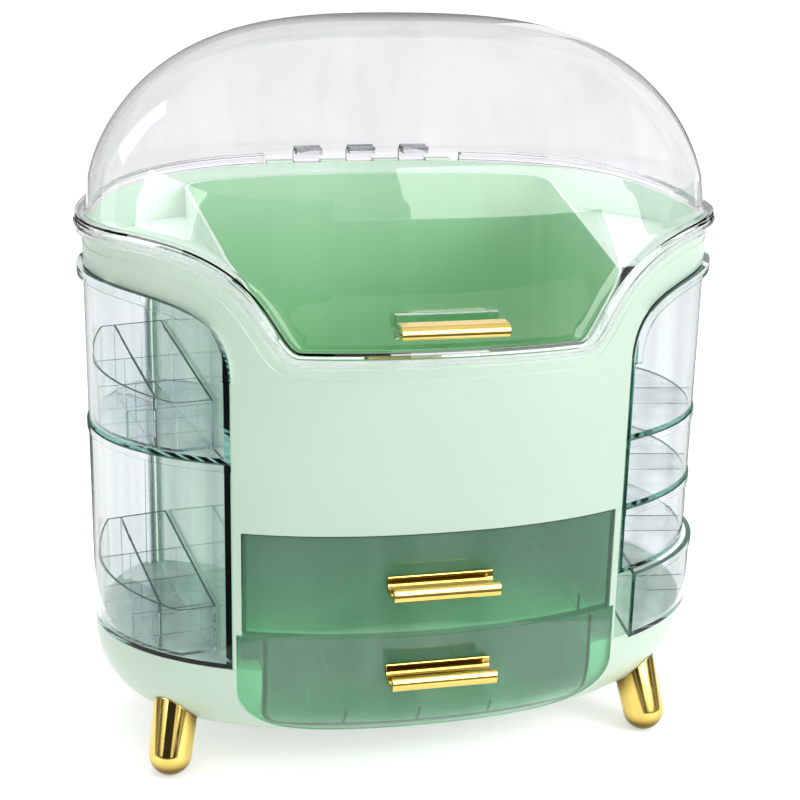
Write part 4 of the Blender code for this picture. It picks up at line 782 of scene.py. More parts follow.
def body_shell():
    """Tower, front panel, rear shell and the wide band under the lid, as one moulding."""
    low = BASE_TOP_Z + TOWER_GAP_Z
    made = cut(oval_solid(0, low, DOME_TOP_Z), over_rim(-BAND_STEP_DROP, BAND_STEP_DEPTH))
    core = oval_solid(SHELL_WALL, low - OVERRUN, DOME_TOP_Z + OVERRUN)
    join(made, *(body_bracket(*span) for span in knuckle_spans(lid_side=False)))
    for side in (-1, 1):
        cut(made, side_bay(side, 0))
        cut(core, side_bay(side, SHELL_WALL))
    half = TOWER_HALF_WIDTH - POST_WIDTH
    drawer_bay = box((-half, -FAR, BASE_TOP_Z - OVERRUN), (half, -BODY_HALF_DEPTH / 2, PANEL_BOTTOM_Z))
    cut(made, core, above_rim(BODY_TOP_RISE), drawer_bay, plate_rebate())
    for side in (-1, 1):
        join(made, wall_rail(side, SHELF_TOP_Z - SHELF_THICKNESS - SEAT_GAP),
             wall_rail(side, WELL_FLOOR_Z - SEAT_GAP))
    return cut(made, hinge_bore())


def well_plan(inset):
    """Outline of the well: straight partitions between the front and rear arcs of the oval."""
    gap = SHELL_WALL + TRAY_CLEARANCE + WELL_SETBACK + inset
    steps = WELL_ARC_STEPS
    points = oval_edge(WELL_FRONT_HALF_WIDTH - inset, gap, steps)
    points += [(-x, -y) for x, y in oval_edge(WELL_REAR_HALF_WIDTH - inset, gap, steps)]
    return round_corners(points, WELL_CORNER - inset, (0, steps, steps + 1, 2 * steps + 1))


def top_tray():
    """Liner under the lid: two shallow side decks and a deep well between sloping partitions."""
    made = outline_solid(well_plan(0), WELL_FLOOR_Z, DOME_SPRING_Z)
    join(made, oval_solid(SHELL_WALL + TRAY_CLEARANCE, DECK_Z - DECK_THICKNESS, DECK_Z))
    cut(made, outline_solid(well_plan(WELL_WALL), WELL_FLOOR_Z + WELL_FLOOR_THICKNESS, DOME_TOP_Z))
    slope = [(-FAR, PARTITION_FRONT_Z), (-oval_y(WELL_FRONT_HALF_WIDTH), PARTITION_FRONT_Z),
             (oval_y(WELL_REAR_HALF_WIDTH), PARTITION_REAR_Z), (FAR, PARTITION_REAR_Z),
             (FAR, SKY), (-FAR, SKY)]
    half = WELL_REAR_HALF_WIDTH + WELL_WALL
    return cut(made, outline_solid(slope, -half, half, "X"), above_rim(BODY_TOP_RISE - TRAY_RIM_DROP))


def bay_shelf():
    half, rear_y = TOWER_HALF_WIDTH - POST_WIDTH - RUN_GAP, BODY_HALF_DEPTH - SHELF_REAR_IN
    plan = oval_edge(half, SHELF_SETBACK, UNIT_ARC_STEPS // 2) + [(half, rear_y), (-half, rear_y)]
    return outline_solid(plan, SHELF_TOP_Z - SHELF_THICKNESS, SHELF_TOP_Z)


def drawer_plan(half_width, inset, front_inset):
    """Drawer seen from above: a bowed front that follows the oval, straight sides and back."""
    half, rear_y = half_width - inset, DRAWER_REAR_Y - inset
    return oval_edge(half, DRAWER_SETBACK + front_inset) + [(half, rear_y), (-half, rear_y)]


def drawer_rib(x, front, floor):
    """Low rib from front to back on a drawer's floor."""
    return box((x, front, floor - DRAWER_FLOOR / 2),
               (x + RIB_THICKNESS, DRAWER_REAR_Y - DRAWER_WALL / 2, floor + RIB_HEIGHT))


def upper_drawer():
    made = outline_solid(drawer_plan(UPPER_HALF_WIDTH, 0, 0), UPPER_BOTTOM_Z, UPPER_TOP_Z)
    floor = UPPER_BOTTOM_Z + DRAWER_FLOOR
    cut(made, outline_solid(drawer_plan(UPPER_HALF_WIDTH, DRAWER_WALL, DRAWER_WALL), floor,
                            UPPER_TOP_Z + OVERRUN))
    x = UPPER_HALF_WIDTH - UPPER_RIB_IN
    return join(made, drawer_rib(x, -oval_y(x, DRAWER_SETBACK + DRAWER_WALL / 2), floor))


def lower_tub(inset, low, high, front_inset):
    """Lower drawer's tray or its hollow: rounded lower corners and a bowed front."""
    return keep_inside(outline_solid(drawer_plan(LOWER_HALF_WIDTH, inset, front_inset), 0, FAR),
                       slot_block(LOWER_HALF_WIDTH - inset, low, high, LOWER_CORNER - inset),
                       bowl_core(DRAWER_SETBACK + front_inset))


def lower_drawer():
    """Tray with rounded lower corners behind a wide bowed plate."""
    made = lower_tub(0, LOWER_BOTTOM_Z, LOWER_TOP_Z, PLATE_THICKNESS / 2)
    plate = slot_block(PLATE_HALF_WIDTH, PLATE_BOTTOM_Z, DRAWER_SPLIT_Z - SEAT_GAP, PLATE_CORNER_WIDTH,
                       PLATE_CORNER_HEIGHT, rear=-BODY_HALF_DEPTH / 2)
    keep_inside(plate, bowl_core(DRAWER_SETBACK))
    join(made, cut(plate, bowl_core(DRAWER_SETBACK + PLATE_THICKNESS)))
    floor = LOWER_BOTTOM_Z + DRAWER_FLOOR
    cut(made, lower_tub(DRAWER_WALL, floor, LOWER_TOP_Z + OVERRUN, PLATE_THICKNESS - PLATE_RELIEF))
    for share in LOWER_RIB_SHARES:
        rib = drawer_rib(LOWER_HALF_WIDTH * share, -FAR, floor)
        join(made, keep_inside(rib, bowl_core(DRAWER_SETBACK + DRAWER_WALL)))
    return made


def ledge_pull(low):
    """Gold pull: a low back plate, a trough for the fingertips and a rounded lip, as one bent profile."""
    face = -BODY_HALF_DEPTH + DRAWER_SETBACK - SEAT_GAP
    lip = face - PULL_REACH
    plate, corner, half = PULL_PLATE / 2, PULL_TROUGH_CORNER, PULL_LIP_HEIGHT / 2
    round_top = (PULL_LIP_DEPTH - PULL_LIP_BULGE) * PULL_LIP_ROUND_SHARE
    inner, trough = lip + PULL_LIP_DEPTH, low + PULL_TROUGH_WALL + corner
    outline = [(face, low)]
    outline += arc((face - plate, low + PULL_PLATE_RISE - plate), plate, 0, 2 * QUARTER)
    outline += arc((face - PULL_PLATE - corner, trough), corner, 0, -QUARTER)
    outline += arc((inner + corner, trough), corner, -QUARTER, -QUARTER)
    outline += arc((inner - round_top, low + PULL_LIP_HEIGHT - round_top), round_top, 0, QUARTER)
    outline += arc((lip + PULL_LIP_BULGE, low + half), PULL_LIP_BULGE, QUARTER, 2 * QUARTER, half,
                   PULL_LIP_STEPS)[1:]
    return outline_solid(outline[::-1], -PULL_WIDTH / 2, PULL_WIDTH / 2, "X")


def dome_ring(z):
    """Ring of the dome at this height, shallower and set further back as it rises."""
    share = max(0.0, (z - RIM_REAR_Z) / (DOME_TOP_Z - RIM_REAR_Z))
    width = (1 - share ** DOME_RISE_POWER) ** (1 / DOME_SIDE_POWER)
    half_width = (BODY_HALF_WIDTH - LID_FOOT_INSET) * width
    half_depth = (BODY_HALF_DEPTH - LID_FOOT_INSET) * width * (1 - DOME_SHALLOW_SHARE * share)
    ring = [oval(half_width, half_depth, angle) for angle in STATIONS]
    return [(x, y + DOME_LEAN * share, z) for x, y in ring]


def lid_rings():
    """Open skin of the lid. Its lowest rings follow the wavy rim, and the next ones lead to level rings."""
    span = LID_FLANGE_REACH + LID_FOOT_INSET
    rings = [oval_ring(span * a - LID_FLANGE_REACH, lambda x, y, up=LID_FLANGE_HEIGHT * b: rim_z(x, y, up))
             for a, b in LID_PROFILE_SHARES]
    foot_ring, level = rings[-1], dome_ring(DOME_SPRING_Z)
    for share in steps_between(0, 1, DOME_WALL_RINGS + 1)[1:-1]:
        rings.append([tuple(Vector(f).lerp(Vector(l), share)) for f, l in zip(foot_ring, level)])
    for a in steps_between(0, QUARTER, DOME_RISE_STEPS)[:-1]:
        rings.append(dome_ring(DOME_SPRING_Z + (DOME_TOP_Z - DOME_SPRING_Z) * math.sin(a)))
    return rings


def lid_tab():
    """Clear tab of the lid, a pad on its wall with a shelf that carries the bar."""
    half, steps = LID_TAB_WIDTH / 2, UNIT_ARC_STEPS // 2
    wall = oval_edge(half, LID_FOOT_INSET, steps)
    rear = oval_edge(half, LID_FOOT_INSET + LID_WALL * BURIED_SHARE, steps)
    top = LID_SHELF_Z + LID_TAB_RISE
    pad = rear[::-1] + [(x, y - LID_TAB_THICKNESS) for x, y in wall]
    narrow = half - RUN_GAP
    shelf = [(max(-narrow, min(x, narrow)), y - LID_TAB_THICKNESS / 2) for x, y in wall[::-1]]
    shelf += [(-narrow, LID_SHELF_FRONT_Y), (narrow, LID_SHELF_FRONT_Y)]
    return join(outline_solid(pad, top - LID_TAB_HEIGHT, top),
                outline_solid(shelf, LID_SHELF_Z - LID_SHELF_THICKNESS, LID_SHELF_Z))


def lid_dome():
    """Clear lid in one moulding, with a rolled flange, notched at the rear for the hinge."""
    bm, rows = skin(lid_rings())
    crown, last = bm.verts.new((0, DOME_LEAN, DOME_TOP_Z)), rows[-1]
    for i in range(len(last)):
        bm.faces.new((last[i], last[(i + 1) % len(last)], crown))
    made = from_bmesh(bm)
    shell = made.modifiers.new("wall", "SOLIDIFY")
    shell.thickness = LID_WALL
    shell.offset = -1
    shell.use_even_offset = True
    mesh = evaluated_mesh(made)
    made.modifiers.clear()
    made.data = mesh
    half = HINGE_HALF_LENGTH + HINGE_NOTCH_MARGIN
    cut(made, box((-half, BODY_HALF_DEPTH / 2, RIM_SIDE_Z), (half, FAR, RIM_REAR_Z + LID_FLANGE_HEIGHT)))
    join(made, *(lid_lug(*span) for span in knuckle_spans(lid_side=True)), lid_tab())
    return cut(made, hinge_bore())


def lid_bar():
    """Gold bar with a round nose that clips over the front edge of the shelf."""
    front, nose = LID_BAR_FRONT_Y, LID_BAR_HEIGHT / 2
    rear, low = front + LID_BAR_DEPTH, LID_SHELF_Z - LID_SHELF_THICKNESS / 2 - nose
    points = [(rear, low), (rear, low + LID_BAR_HEIGHT)]
    points += arc((front + nose, low + nose), nose, QUARTER, math.pi)
    made = outline_solid(points, -LID_BAR_WIDTH / 2, LID_BAR_WIDTH / 2, "X")
    return cut(made, box((-FAR, LID_SHELF_FRONT_Y - SEAT_GAP, LID_SHELF_Z - LID_SHELF_THICKNESS - SEAT_GAP),
                         (FAR, FAR, LID_SHELF_Z + SEAT_GAP)))


def pivot_point():
    """Axis of the right side's units: the nose circle touches the oval and runs clear of the tower."""
    front, rear, along, outwards = tower_wall()
    low, high = 0.0, (rear - front).length
    width, depth = BODY_HALF_WIDTH - UNIT_NOSE_RADIUS, BODY_HALF_DEPTH - UNIT_NOSE_RADIUS
    for _ in range(HALVINGS):
        reach = (low + high) / 2
        spot = front + along * reach + outwards * (UNIT_NOSE_RADIUS + RUN_GAP)
        value = (abs(spot.x) / width) ** OVAL_POWER + (abs(spot.y) / depth) ** OVAL_POWER
        if spot.y > 0 and value > 1:
            high = reach
        else:
            low = reach
    return spot


PIVOT = pivot_point()
RACK_ROW_PITCH = ((PIVOT - tower_wall()[0]).length - RACK_FRONT - RACK_REAR_ROOM) / RACK_ROWS


def unit_plan():
    """Plan of a right unit: the oval's arc, a round nose on the pivot and a straight inner wall."""
    front, _, _, outwards = tower_wall()
    tries = [i / HALVINGS ** 2 * QUARTER for i in range(HALVINGS ** 2)]
    last = min(tries, key=lambda a: (Vector(oval(BODY_HALF_WIDTH, BODY_HALF_DEPTH, a)) - PIVOT).length)
    first = -math.acos(((front + outwards * RUN_GAP).x / BODY_HALF_WIDTH) ** (OVAL_POWER / 2))
    points = [oval(BODY_HALF_WIDTH, BODY_HALF_DEPTH, a) for a in steps_between(first, last, UNIT_ARC_STEPS)]
    tail = Vector(points[-1]) - PIVOT
    begin, end = math.atan2(tail.y, tail.x), math.atan2(-outwards.y, -outwards.x) % CIRCLE
    return points + arc(PIVOT, UNIT_NOSE_RADIUS, begin, end - begin)[1:]


def lip_plan(side):
    """Reach of the lip in plan: outside the inner wall and forward of the barrel."""
    front, _, along, outwards = tower_wall()
    near = front + outwards * RUN_GAP - along * FAR
    far = near + along * ((PIVOT.y - UNIT_NOSE_RADIUS * 2 - near.y) / along.y)
    return beside(near, far, side)


def arch_strip(side, gap, height):
    """Strip that follows the band's lower edge, for the thick lip of the top units."""
    upper, lower = offset_line(ARCH_CURVE, -gap), offset_line(ARCH_CURVE, -gap - height)
    outline = upper + [(FAR, upper[-1][1]), (FAR, lower[-1][1])] + lower[::-1]
    return outline_solid(mirrored(outline, side), -FAR, FAR, "Y")


def pivot_bar(side, low, high, radius, sides=PIVOT_SIDES):
    return rod((side * PIVOT.x, PIVOT.y, low), (side * PIVOT.x, PIVOT.y, high), radius, sides)


def over_head(side):
    """Space over a top unit's barrel, cut level so that its head turns under the sloping band."""
    level = height_on(offset_line(ARCH_CURVE, -RUN_GAP), PIVOT.x - UNIT_NOSE_RADIUS)
    return pivot_bar(side, level, level + FAR, UNIT_NOSE_RADIUS + UNIT_HEAD_SPREAD, PIVOT_SIDES * 2)


def side_unit(side, low, high=None):
    """Clear unit or tray: walls, floor, a thick lip round its outer edge and a barrel on the pivot.

    Without a height it reaches up to the band."""
    plan = mirrored(unit_plan(), side)
    top = high or DOME_TOP_Z
    made = outline_solid(plan, low, top)
    if high:
        lip = oval_solid(-TRAY_LIP_REACH, top - TRAY_LIP_HEIGHT, top)
    else:
        keep_inside(made, under_arch(side, -RUN_GAP, 0))
        lip = keep_inside(oval_solid(-TOP_LIP_REACH, low, top), arch_strip(side, RUN_GAP, TOP_LIP_HEIGHT))
    join(made, keep_inside(lip, outline_solid(lip_plan(side), 0, SKY)))
    hollow = outline_solid(grow(plan, -UNIT_WALL), low + UNIT_FLOOR, top + OVERRUN)
    cut(made, cut(hollow, pivot_bar(side, 0, SKY, UNIT_NOSE_RADIUS, PIVOT_SIDES * 2)))
    if not high:
        cut(made, over_head(side))
    return cut(made, pivot_bar(side, 0, SKY, PIVOT_BORE_RADIUS))


def tray_rib(side, low):
    """Low rib that splits a tray, square to its inner wall."""
    front, _, along, outwards = tower_wall()
    start = front + along * TRAY_RIB_BEHIND_FRONT + outwards * (RUN_GAP + UNIT_WALL / 2)
    end, step = start + outwards * FAR, along * RIB_THICKNESS
    plan = [tuple(point) for point in (start, end, end + step, start + step)]
    rib = outline_solid(mirrored(plan, side), low + UNIT_FLOOR / 2, low + UNIT_FLOOR + RIB_HEIGHT)
    return keep_inside(rib, outline_solid(grow(mirrored(unit_plan(), side), -UNIT_WALL / 2), 0, FAR))


def rack_point(u, v):
    """Point of the rack's grid in plan, u towards the rear and v outwards from its front corner."""
    front, _, along, outwards = tower_wall()
    return tuple(front + along * (RACK_FRONT + u) + outwards * (RUN_GAP + UNIT_WALL + RACK_CLEARANCE + v))


def rack_block(side, u0, u1, v0, v1, low, high):
    corners = [rack_point(u0, v0), rack_point(u0, v1), rack_point(u1, v1), rack_point(u1, v0)]
    return outline_solid(mirrored(corners, side), low, high)


def lipstick_rack(side, low):
    """Stepped rack: two columns of cells whose walls rise towards the rear."""
    length = RACK_ROWS * RACK_ROW_PITCH + RACK_WALL
    room = grow(mirrored(unit_plan(), side), -UNIT_WALL - RACK_CLEARANCE)
    floor = low + UNIT_FLOOR + SEAT_GAP
    top = floor + RACK_REAR_HEIGHT + OVERRUN
    made = keep_inside(outline_solid(room, floor, top),
                       rack_block(side, 0, length, -OVERRUN, FAR, floor - OVERRUN, top + OVERRUN))
    hollow = outline_solid(grow(room, -RACK_WALL), floor + RACK_FLOOR, top + OVERRUN)
    cut(made, keep_inside(hollow, rack_block(side, RACK_WALL, length - RACK_WALL, -OVERRUN, FAR, floor,
                                             top + 2 * OVERRUN)))
    buried, foot_z = RACK_WALL / 2, floor + RACK_FLOOR / 2
    walls = []
    for row in range(1, RACK_ROWS):
        u, height = row * RACK_ROW_PITCH, floor + RACK_CROSS_FRONT_HEIGHT + row * RACK_CROSS_RISE
        walls.append(rack_block(side, u, u + RACK_WALL, buried, FAR, foot_z, height))
    v = RACK_WALL + RACK_INNER_COLUMN
    walls.append(rack_block(side, buried, length - buried, v, v + RACK_WALL, foot_z, top - OVERRUN / 2))
    for wall in walls:
        join(made, keep_inside(wall, outline_solid(grow(room, -buried), floor, top + OVERRUN)))
    start_y, end_y = rack_point(0, 0)[1], rack_point(length, 0)[1]
    front_z, rear_z = floor + RACK_FRONT_HEIGHT, floor + RACK_REAR_HEIGHT
    above = [(start_y - FAR, front_z), (start_y, front_z), (end_y, rear_z), (end_y + FAR, rear_z),
             (end_y + FAR, floor + FAR), (start_y - FAR, floor + FAR)]
    return cut(made, outline_solid(above, -FAR, FAR, "X"))


def pieces():
    """Every piece by its node's name, closed but for the lowest tray."""
    low, split = BASE_TOP_Z + RUN_GAP, LEFT_SPLIT_Z + RUN_GAP / 2
    made = {
        "base_bowl": base_bowl(), "body_shell": body_shell(),
        "top_tray": top_tray(), "bay_shelf": bay_shelf(),
        "lid_dome": lid_dome(), "lid_handle_bar": lid_bar(),
        "lid_hinge_pin": hinge_rod(-HINGE_HALF_LENGTH, HINGE_HALF_LENGTH, HINGE_PIN_RADIUS),
        "upper_drawer": upper_drawer(), "lower_drawer": lower_drawer(),
        "upper_drawer_pull": ledge_pull(UPPER_PULL_Z), "lower_drawer_pull": ledge_pull(LOWER_PULL_Z),
        "left_lower_unit": side_unit(-1, low, LEFT_SPLIT_Z - RUN_GAP / 2),
        "left_upper_unit": side_unit(-1, split),
        "left_lower_rack": lipstick_rack(-1, low), "left_upper_rack": lipstick_rack(-1, split)}
    floors = [low] + [z + RUN_GAP / 2 for z in RIGHT_SPLITS_Z]
    tops = [z - RUN_GAP / 2 for z in RIGHT_SPLITS_Z] + [None]
    for i, (floor, top) in enumerate(zip(floors, tops)):
        made[f"right_tray_{len(floors) - i}"] = join(side_unit(1, floor, top), tray_rib(1, floor))
    pivot = Vector((*PIVOT, 0))
    turn = Matrix.Translation(pivot) @ Matrix.Rotation(OPEN_TRAY_ANGLE, 4, "Z") @ Matrix.Translation(-pivot)
    made["right_tray_4"].data.transform(turn)
    rod_top = height_on(ARCH_CURVE, PIVOT.x) - RUN_GAP
    for name, side in SIDES.items():
        made[f"{name}_pivot_rod"] = pivot_bar(side, BASE_TOP_Z + SEAT_GAP, rod_top, PIVOT_ROD_RADIUS)
    for row, depth in (("front", -1), ("rear", 1)):
        for name, side in SIDES.items():
            made[f"foot_{row}_{name}"] = foot(side, depth)
    return made


def feed(tree, node, inputs):
    """Set each input to its value, or link it to the socket given for it."""
    for name, value in inputs.items():
        if isinstance(value, bpy.types.NodeSocket):
            tree.links.new(value, node.inputs[name])
        else:
            node.inputs[name].default_value = value


def add(tree, kind, inputs, **settings):
    """New shader node with its settings and inputs."""
    made = tree.nodes.new("ShaderNode" + kind)
    for name, value in settings.items():
        setattr(made, name, value)
    feed(tree, made, inputs)
    return made


def noise(tree, scale, detail=3.0, upright=False):
    """Noise over the piece, drawn out into upright streaks if asked."""
    where = add(tree, "TexCoord", {}).outputs["Object"]
    if upright:
        where = add(tree, "Mapping", {"Vector": where, "Scale": STREAK_SQUEEZE}).outputs["Vector"]
    return add(tree, "TexNoise", {"Vector": where, "Scale": scale, "Detail": detail}).outputs["Fac"]


def grade(tree, shader, share, low, high, start, end, interpolation="LINEAR"):
    """Colour the shader from low to high as the share goes from start to end."""
    ramp = add(tree, "ValToRGB", {"Fac": share})
    ramp.color_ramp.interpolation = interpolation
    for stop, colour, position in zip(ramp.color_ramp.elements, (low, high), (start, end)):
        stop.position = position
        stop.color = (*colour, 1)
    tree.links.new(ramp.outputs["Color"], shader.inputs["Base Color"])


def vary_colour(tree, shader, low, high, scale):
    """Faint drift between two near colours."""
    grade(tree, shader, noise(tree, scale), low, high, *DRIFT_SPAN, "EASE")


def upright_streaks(tree, shader, low, high, scale):
    """Faint upright streaks, as moulded clear walls show where their thickness drifts."""
    grade(tree, shader, noise(tree, scale, 2.0, upright=True), low, high, *STREAK_SPAN)


def vary_roughness(tree, shader, low, high, scale):
    spread = add(tree, "MapRange", {"Value": noise(tree, scale, 5.0), "From Min": GLOSS_SPAN[0],
                                    "From Max": GLOSS_SPAN[1], "To Min": low, "To Max": high})
    tree.links.new(spread.outputs["Result"], shader.inputs["Roughness"])


def grain(tree, shader, scale, strength, edge):
    """Fine relief, with the edges rounded by this radius."""
    rounded = add(tree, "Bevel", {"Radius": edge}, samples=6)
    bump = add(tree, "Bump", {"Strength": strength, "Distance": GRAIN_DEPTH,
                              "Height": noise(tree, scale, 2.0), "Normal": rounded.outputs["Normal"]})
    tree.links.new(bump.outputs["Normal"], shader.inputs["Normal"])


def see_through(tree, shader, shadow, tint, density):
    """Shadow rays pass, so that what stands inside is lit, and the plastic's depth gathers its tint."""
    passing = add(tree, "BsdfTransparent", {"Color": (*shadow, 1)})
    path = add(tree, "LightPath", {})
    mix = add(tree, "MixShader", {"Fac": path.outputs["Is Shadow Ray"], 1: shader.outputs["BSDF"],
                                  2: passing.outputs["BSDF"]})
    body = add(tree, "VolumeAbsorption", {"Color": (*tint, 1), "Density": density})
    feed(tree, tree.nodes["Material Output"], {"Surface": mix.outputs["Shader"],
                                               "Volume": body.outputs["Volume"]})


STEPS = {"shades": vary_colour, "streaks": upright_streaks, "gloss": vary_roughness, "relief": grain,
         "depth": see_through}


def shading(material):
    """Tree and shader of a material."""
    return material.node_tree, material.node_tree.nodes["Principled BSDF"]


def new_material(name, colour, roughness, **more):
    """Material with constants of its shader and the values of the steps above."""
    made = bpy.data.materials.new(name)
    made.use_nodes = True
    made.diffuse_color = (*colour, 1)
    tree, shader = shading(made)
    feed(tree, shader, {"Base Color": (*colour, 1), "Roughness": roughness})
    for key, values in more.items():
        if key in STEPS:
            STEPS[key](tree, shader, *values)
        else:
            feed(tree, shader, {key.replace("_", " "): values})
    return made


def mint_plastic():
    return new_material("mint plastic", (0.69, 0.86, 0.72), 0.3,
                        shades=((0.65, 0.83, 0.68), (0.69, 0.86, 0.72), 9), gloss=(0.28, 0.34, 160),
                        relief=(900, 0.05, EDGE_RADIUS), Coat_Weight=0.35, Coat_Roughness=0.06)


def shaded_liner_plastic():
    """Mint that deepens towards the bottom of the well: painted shade of the well's walls, with a faint
    random drift.
    """
    made = new_material("shaded liner plastic", LINER_PAINTED_SHADE, 0.34, gloss=(0.3, 0.42, 40),
                        relief=(900, 0.03, EDGE_RADIUS), Coat_Weight=0.2, Coat_Roughness=0.1)
    tree, shader = shading(made)
    where = add(tree, "SeparateXYZ", {"Vector": add(tree, "TexCoord", {}).outputs["Object"]})
    height = add(tree, "MapRange", {"Value": where.outputs["Z"], "From Min": WELL_FLOOR_Z,
                                    "From Max": PARTITION_REAR_Z})
    drift = add(tree, "Math", {0: noise(tree, 6), 1: LINER_DRIFT, 2: height.outputs["Result"]},
                operation="MULTIPLY_ADD")
    grade(tree, shader, drift.outputs["Value"], LINER_PAINTED_SHADE, LINER_PALE, *LINER_SPAN)
    return made


def shaded_bay_plastic():
    """Satin mint of the tower's side walls, painted deeper as painted shade behind the clear units."""
    return new_material("shaded bay plastic", (0.50, 0.80, 0.56), 0.5,
                        shades=((0.47, 0.77, 0.53), (0.53, 0.82, 0.59), 9), gloss=(0.45, 0.55, 60),
                        relief=(900, 0.05, EDGE_RADIUS), Specular_IOR_Level=0.25)


def clear_plastic(name, low, high, tint, density, index=PLASTIC_IOR):
    return new_material(name, high, 0.02, streaks=(low, high, 38), gloss=(0.0, 0.03, 14),
                        depth=(high, tint, density), IOR=index, Transmission_Weight=1.0)


def tinted_plastic():
    """Smoky green plastic with a little milk in it."""
    return new_material("tinted plastic", (0.48, 0.76, 0.59), 0.03,
                        streaks=((0.43, 0.72, 0.54), (0.53, 0.80, 0.64), 30), gloss=(0.0, 0.04, 14),
                        depth=((0.80, 0.92, 0.84), (0.05, 0.70, 0.40), 44),
                        IOR=PLASTIC_IOR, Transmission_Weight=0.84)


def rim_plastic(name, low, high, clearness, tint, density):
    """Narrow edges, where plastic gathers its tint and looks dark: the tint is the plastic's own, and the
    extra darkness is painted shade for the dark lines the edges show.
    """
    return new_material(name, high, 0.12, shades=(low, high, 24), gloss=(0.08, 0.16, 90),
                        depth=(high, tint, density), IOR=PLASTIC_IOR, Transmission_Weight=clearness)


def gold_plate():
    """Gold whose hollows take a darker tone: painted shade, darker the more closed in a point is."""
    made = new_material("gold plate", (0.82, 0.60, 0.17), 0.08,
                        shades=((0.79, 0.57, 0.15), (0.85, 0.63, 0.19), 30), gloss=(0.05, 0.12, 60),
                        relief=(400, 0.03, GOLD_EDGE_RADIUS), Metallic=1.0)
    tree, shader = shading(made)
    bright = shader.inputs["Base Color"].links[0].from_socket
    # Painted shade: closed-in points blend the base colour towards the dark painted shade colour.
    open_share = add(tree, "AmbientOcclusion", {"Distance": GOLD_SHADE_DISTANCE}, samples=8)
    sharpen = add(tree, "MapRange", {"Value": open_share.outputs["AO"], "From Min": GOLD_SHADE_SPAN[0],
                                     "From Max": GOLD_SHADE_SPAN[1]})
    mix = add(tree, "Mix", {"Factor": sharpen.outputs["Result"], "A": GOLD_PAINTED_SHADE, "B": bright},
              data_type="RGBA")
    tree.links.new(mix.outputs["Result"], shader.inputs["Base Color"])
    return made


def steel():
    return new_material("steel", (0.7, 0.7, 0.72), 0.3, gloss=(0.22, 0.38, 200), Metallic=1.0)


def recolour(item, second, chosen):
    """Faces that pass a test take a second material."""
    item.data.materials.append(second)
    for face in item.data.polygons:
        if chosen(face):
            face.material_index = 1


def beside_units(face):
    """The tower's walls beside the clear units."""
    outward = face.normal.x * math.copysign(1, face.center.x)
    return outward > SIDEWAYS_SHARE and BAY_WALL_SPAN[0] < abs(face.center.x) < BAY_WALL_SPAN[1]


def knuckle_end(face):
    """The ends of the lid's knuckles."""
    return abs(face.normal.x) > SIDEWAYS_SHARE and face.center.y > KNUCKLE_START_Y + PLAN_SHIFT_Y


def inside(outline, x, y):
    """True where a point lies inside a closed outline."""
    crossed = False
    for (x0, y0), (x1, y1) in zip(outline, outline[1:] + outline[:1]):
        if (y0 > y) != (y1 > y) and x < x0 + (y - y0) / (y1 - y0) * (x1 - x0):
            crossed = not crossed
    return crossed


def shade_well(tray, well_shade):
    """The well's inner faces take the painted shade, and its edges and the decks stay pale."""
    outline = [(x, y + PLAN_SHIFT_Y) for x, y in well_plan(WELL_WALL / 2)]
    floor_z = WELL_FLOOR_Z + 2 * WELL_FLOOR_THICKNESS
    recolour(tray, well_shade, lambda face: (face.center.z < floor_z or face.normal.z < LEVEL_SHARE)
             and inside(outline, face.center.x, face.center.y))


def darken_rims(item, rim, rise):
    """Narrow upward faces this far above the piece's underside take the rim material."""
    corners = [vertex.co for vertex in item.data.vertices]
    above = min(corner.z for corner in corners) + rise

    def narrow_rim(face):
        edge = [corners[i] for i in face.vertices]
        around = sum((a - b).length for a, b in zip(edge, edge[1:] + edge[:1]))
        return face.normal.z > UPWARD_SHARE and face.center.z > above and 2 * face.area / around < RIM_WIDTH

    recolour(item, rim, narrow_rim)


def dress(item, node, finish):
    """Give a piece its material and place, and let it stand for its solid."""
    item.name = item.data.name = f"{node}_look"
    item.data.transform(Matrix.Translation((0, PLAN_SHIFT_Y, 0)))
    item.data.materials.clear()
    item.data.materials.append(finish)
    item.data.shade_smooth()
    item.data.set_sharp_from_angle(angle=SHARP_ANGLE)
    item.modifiers.new("flat faces stay flat", "WEIGHTED_NORMAL").keep_sharp = True
    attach(item, BODIES[node])
    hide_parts(node)


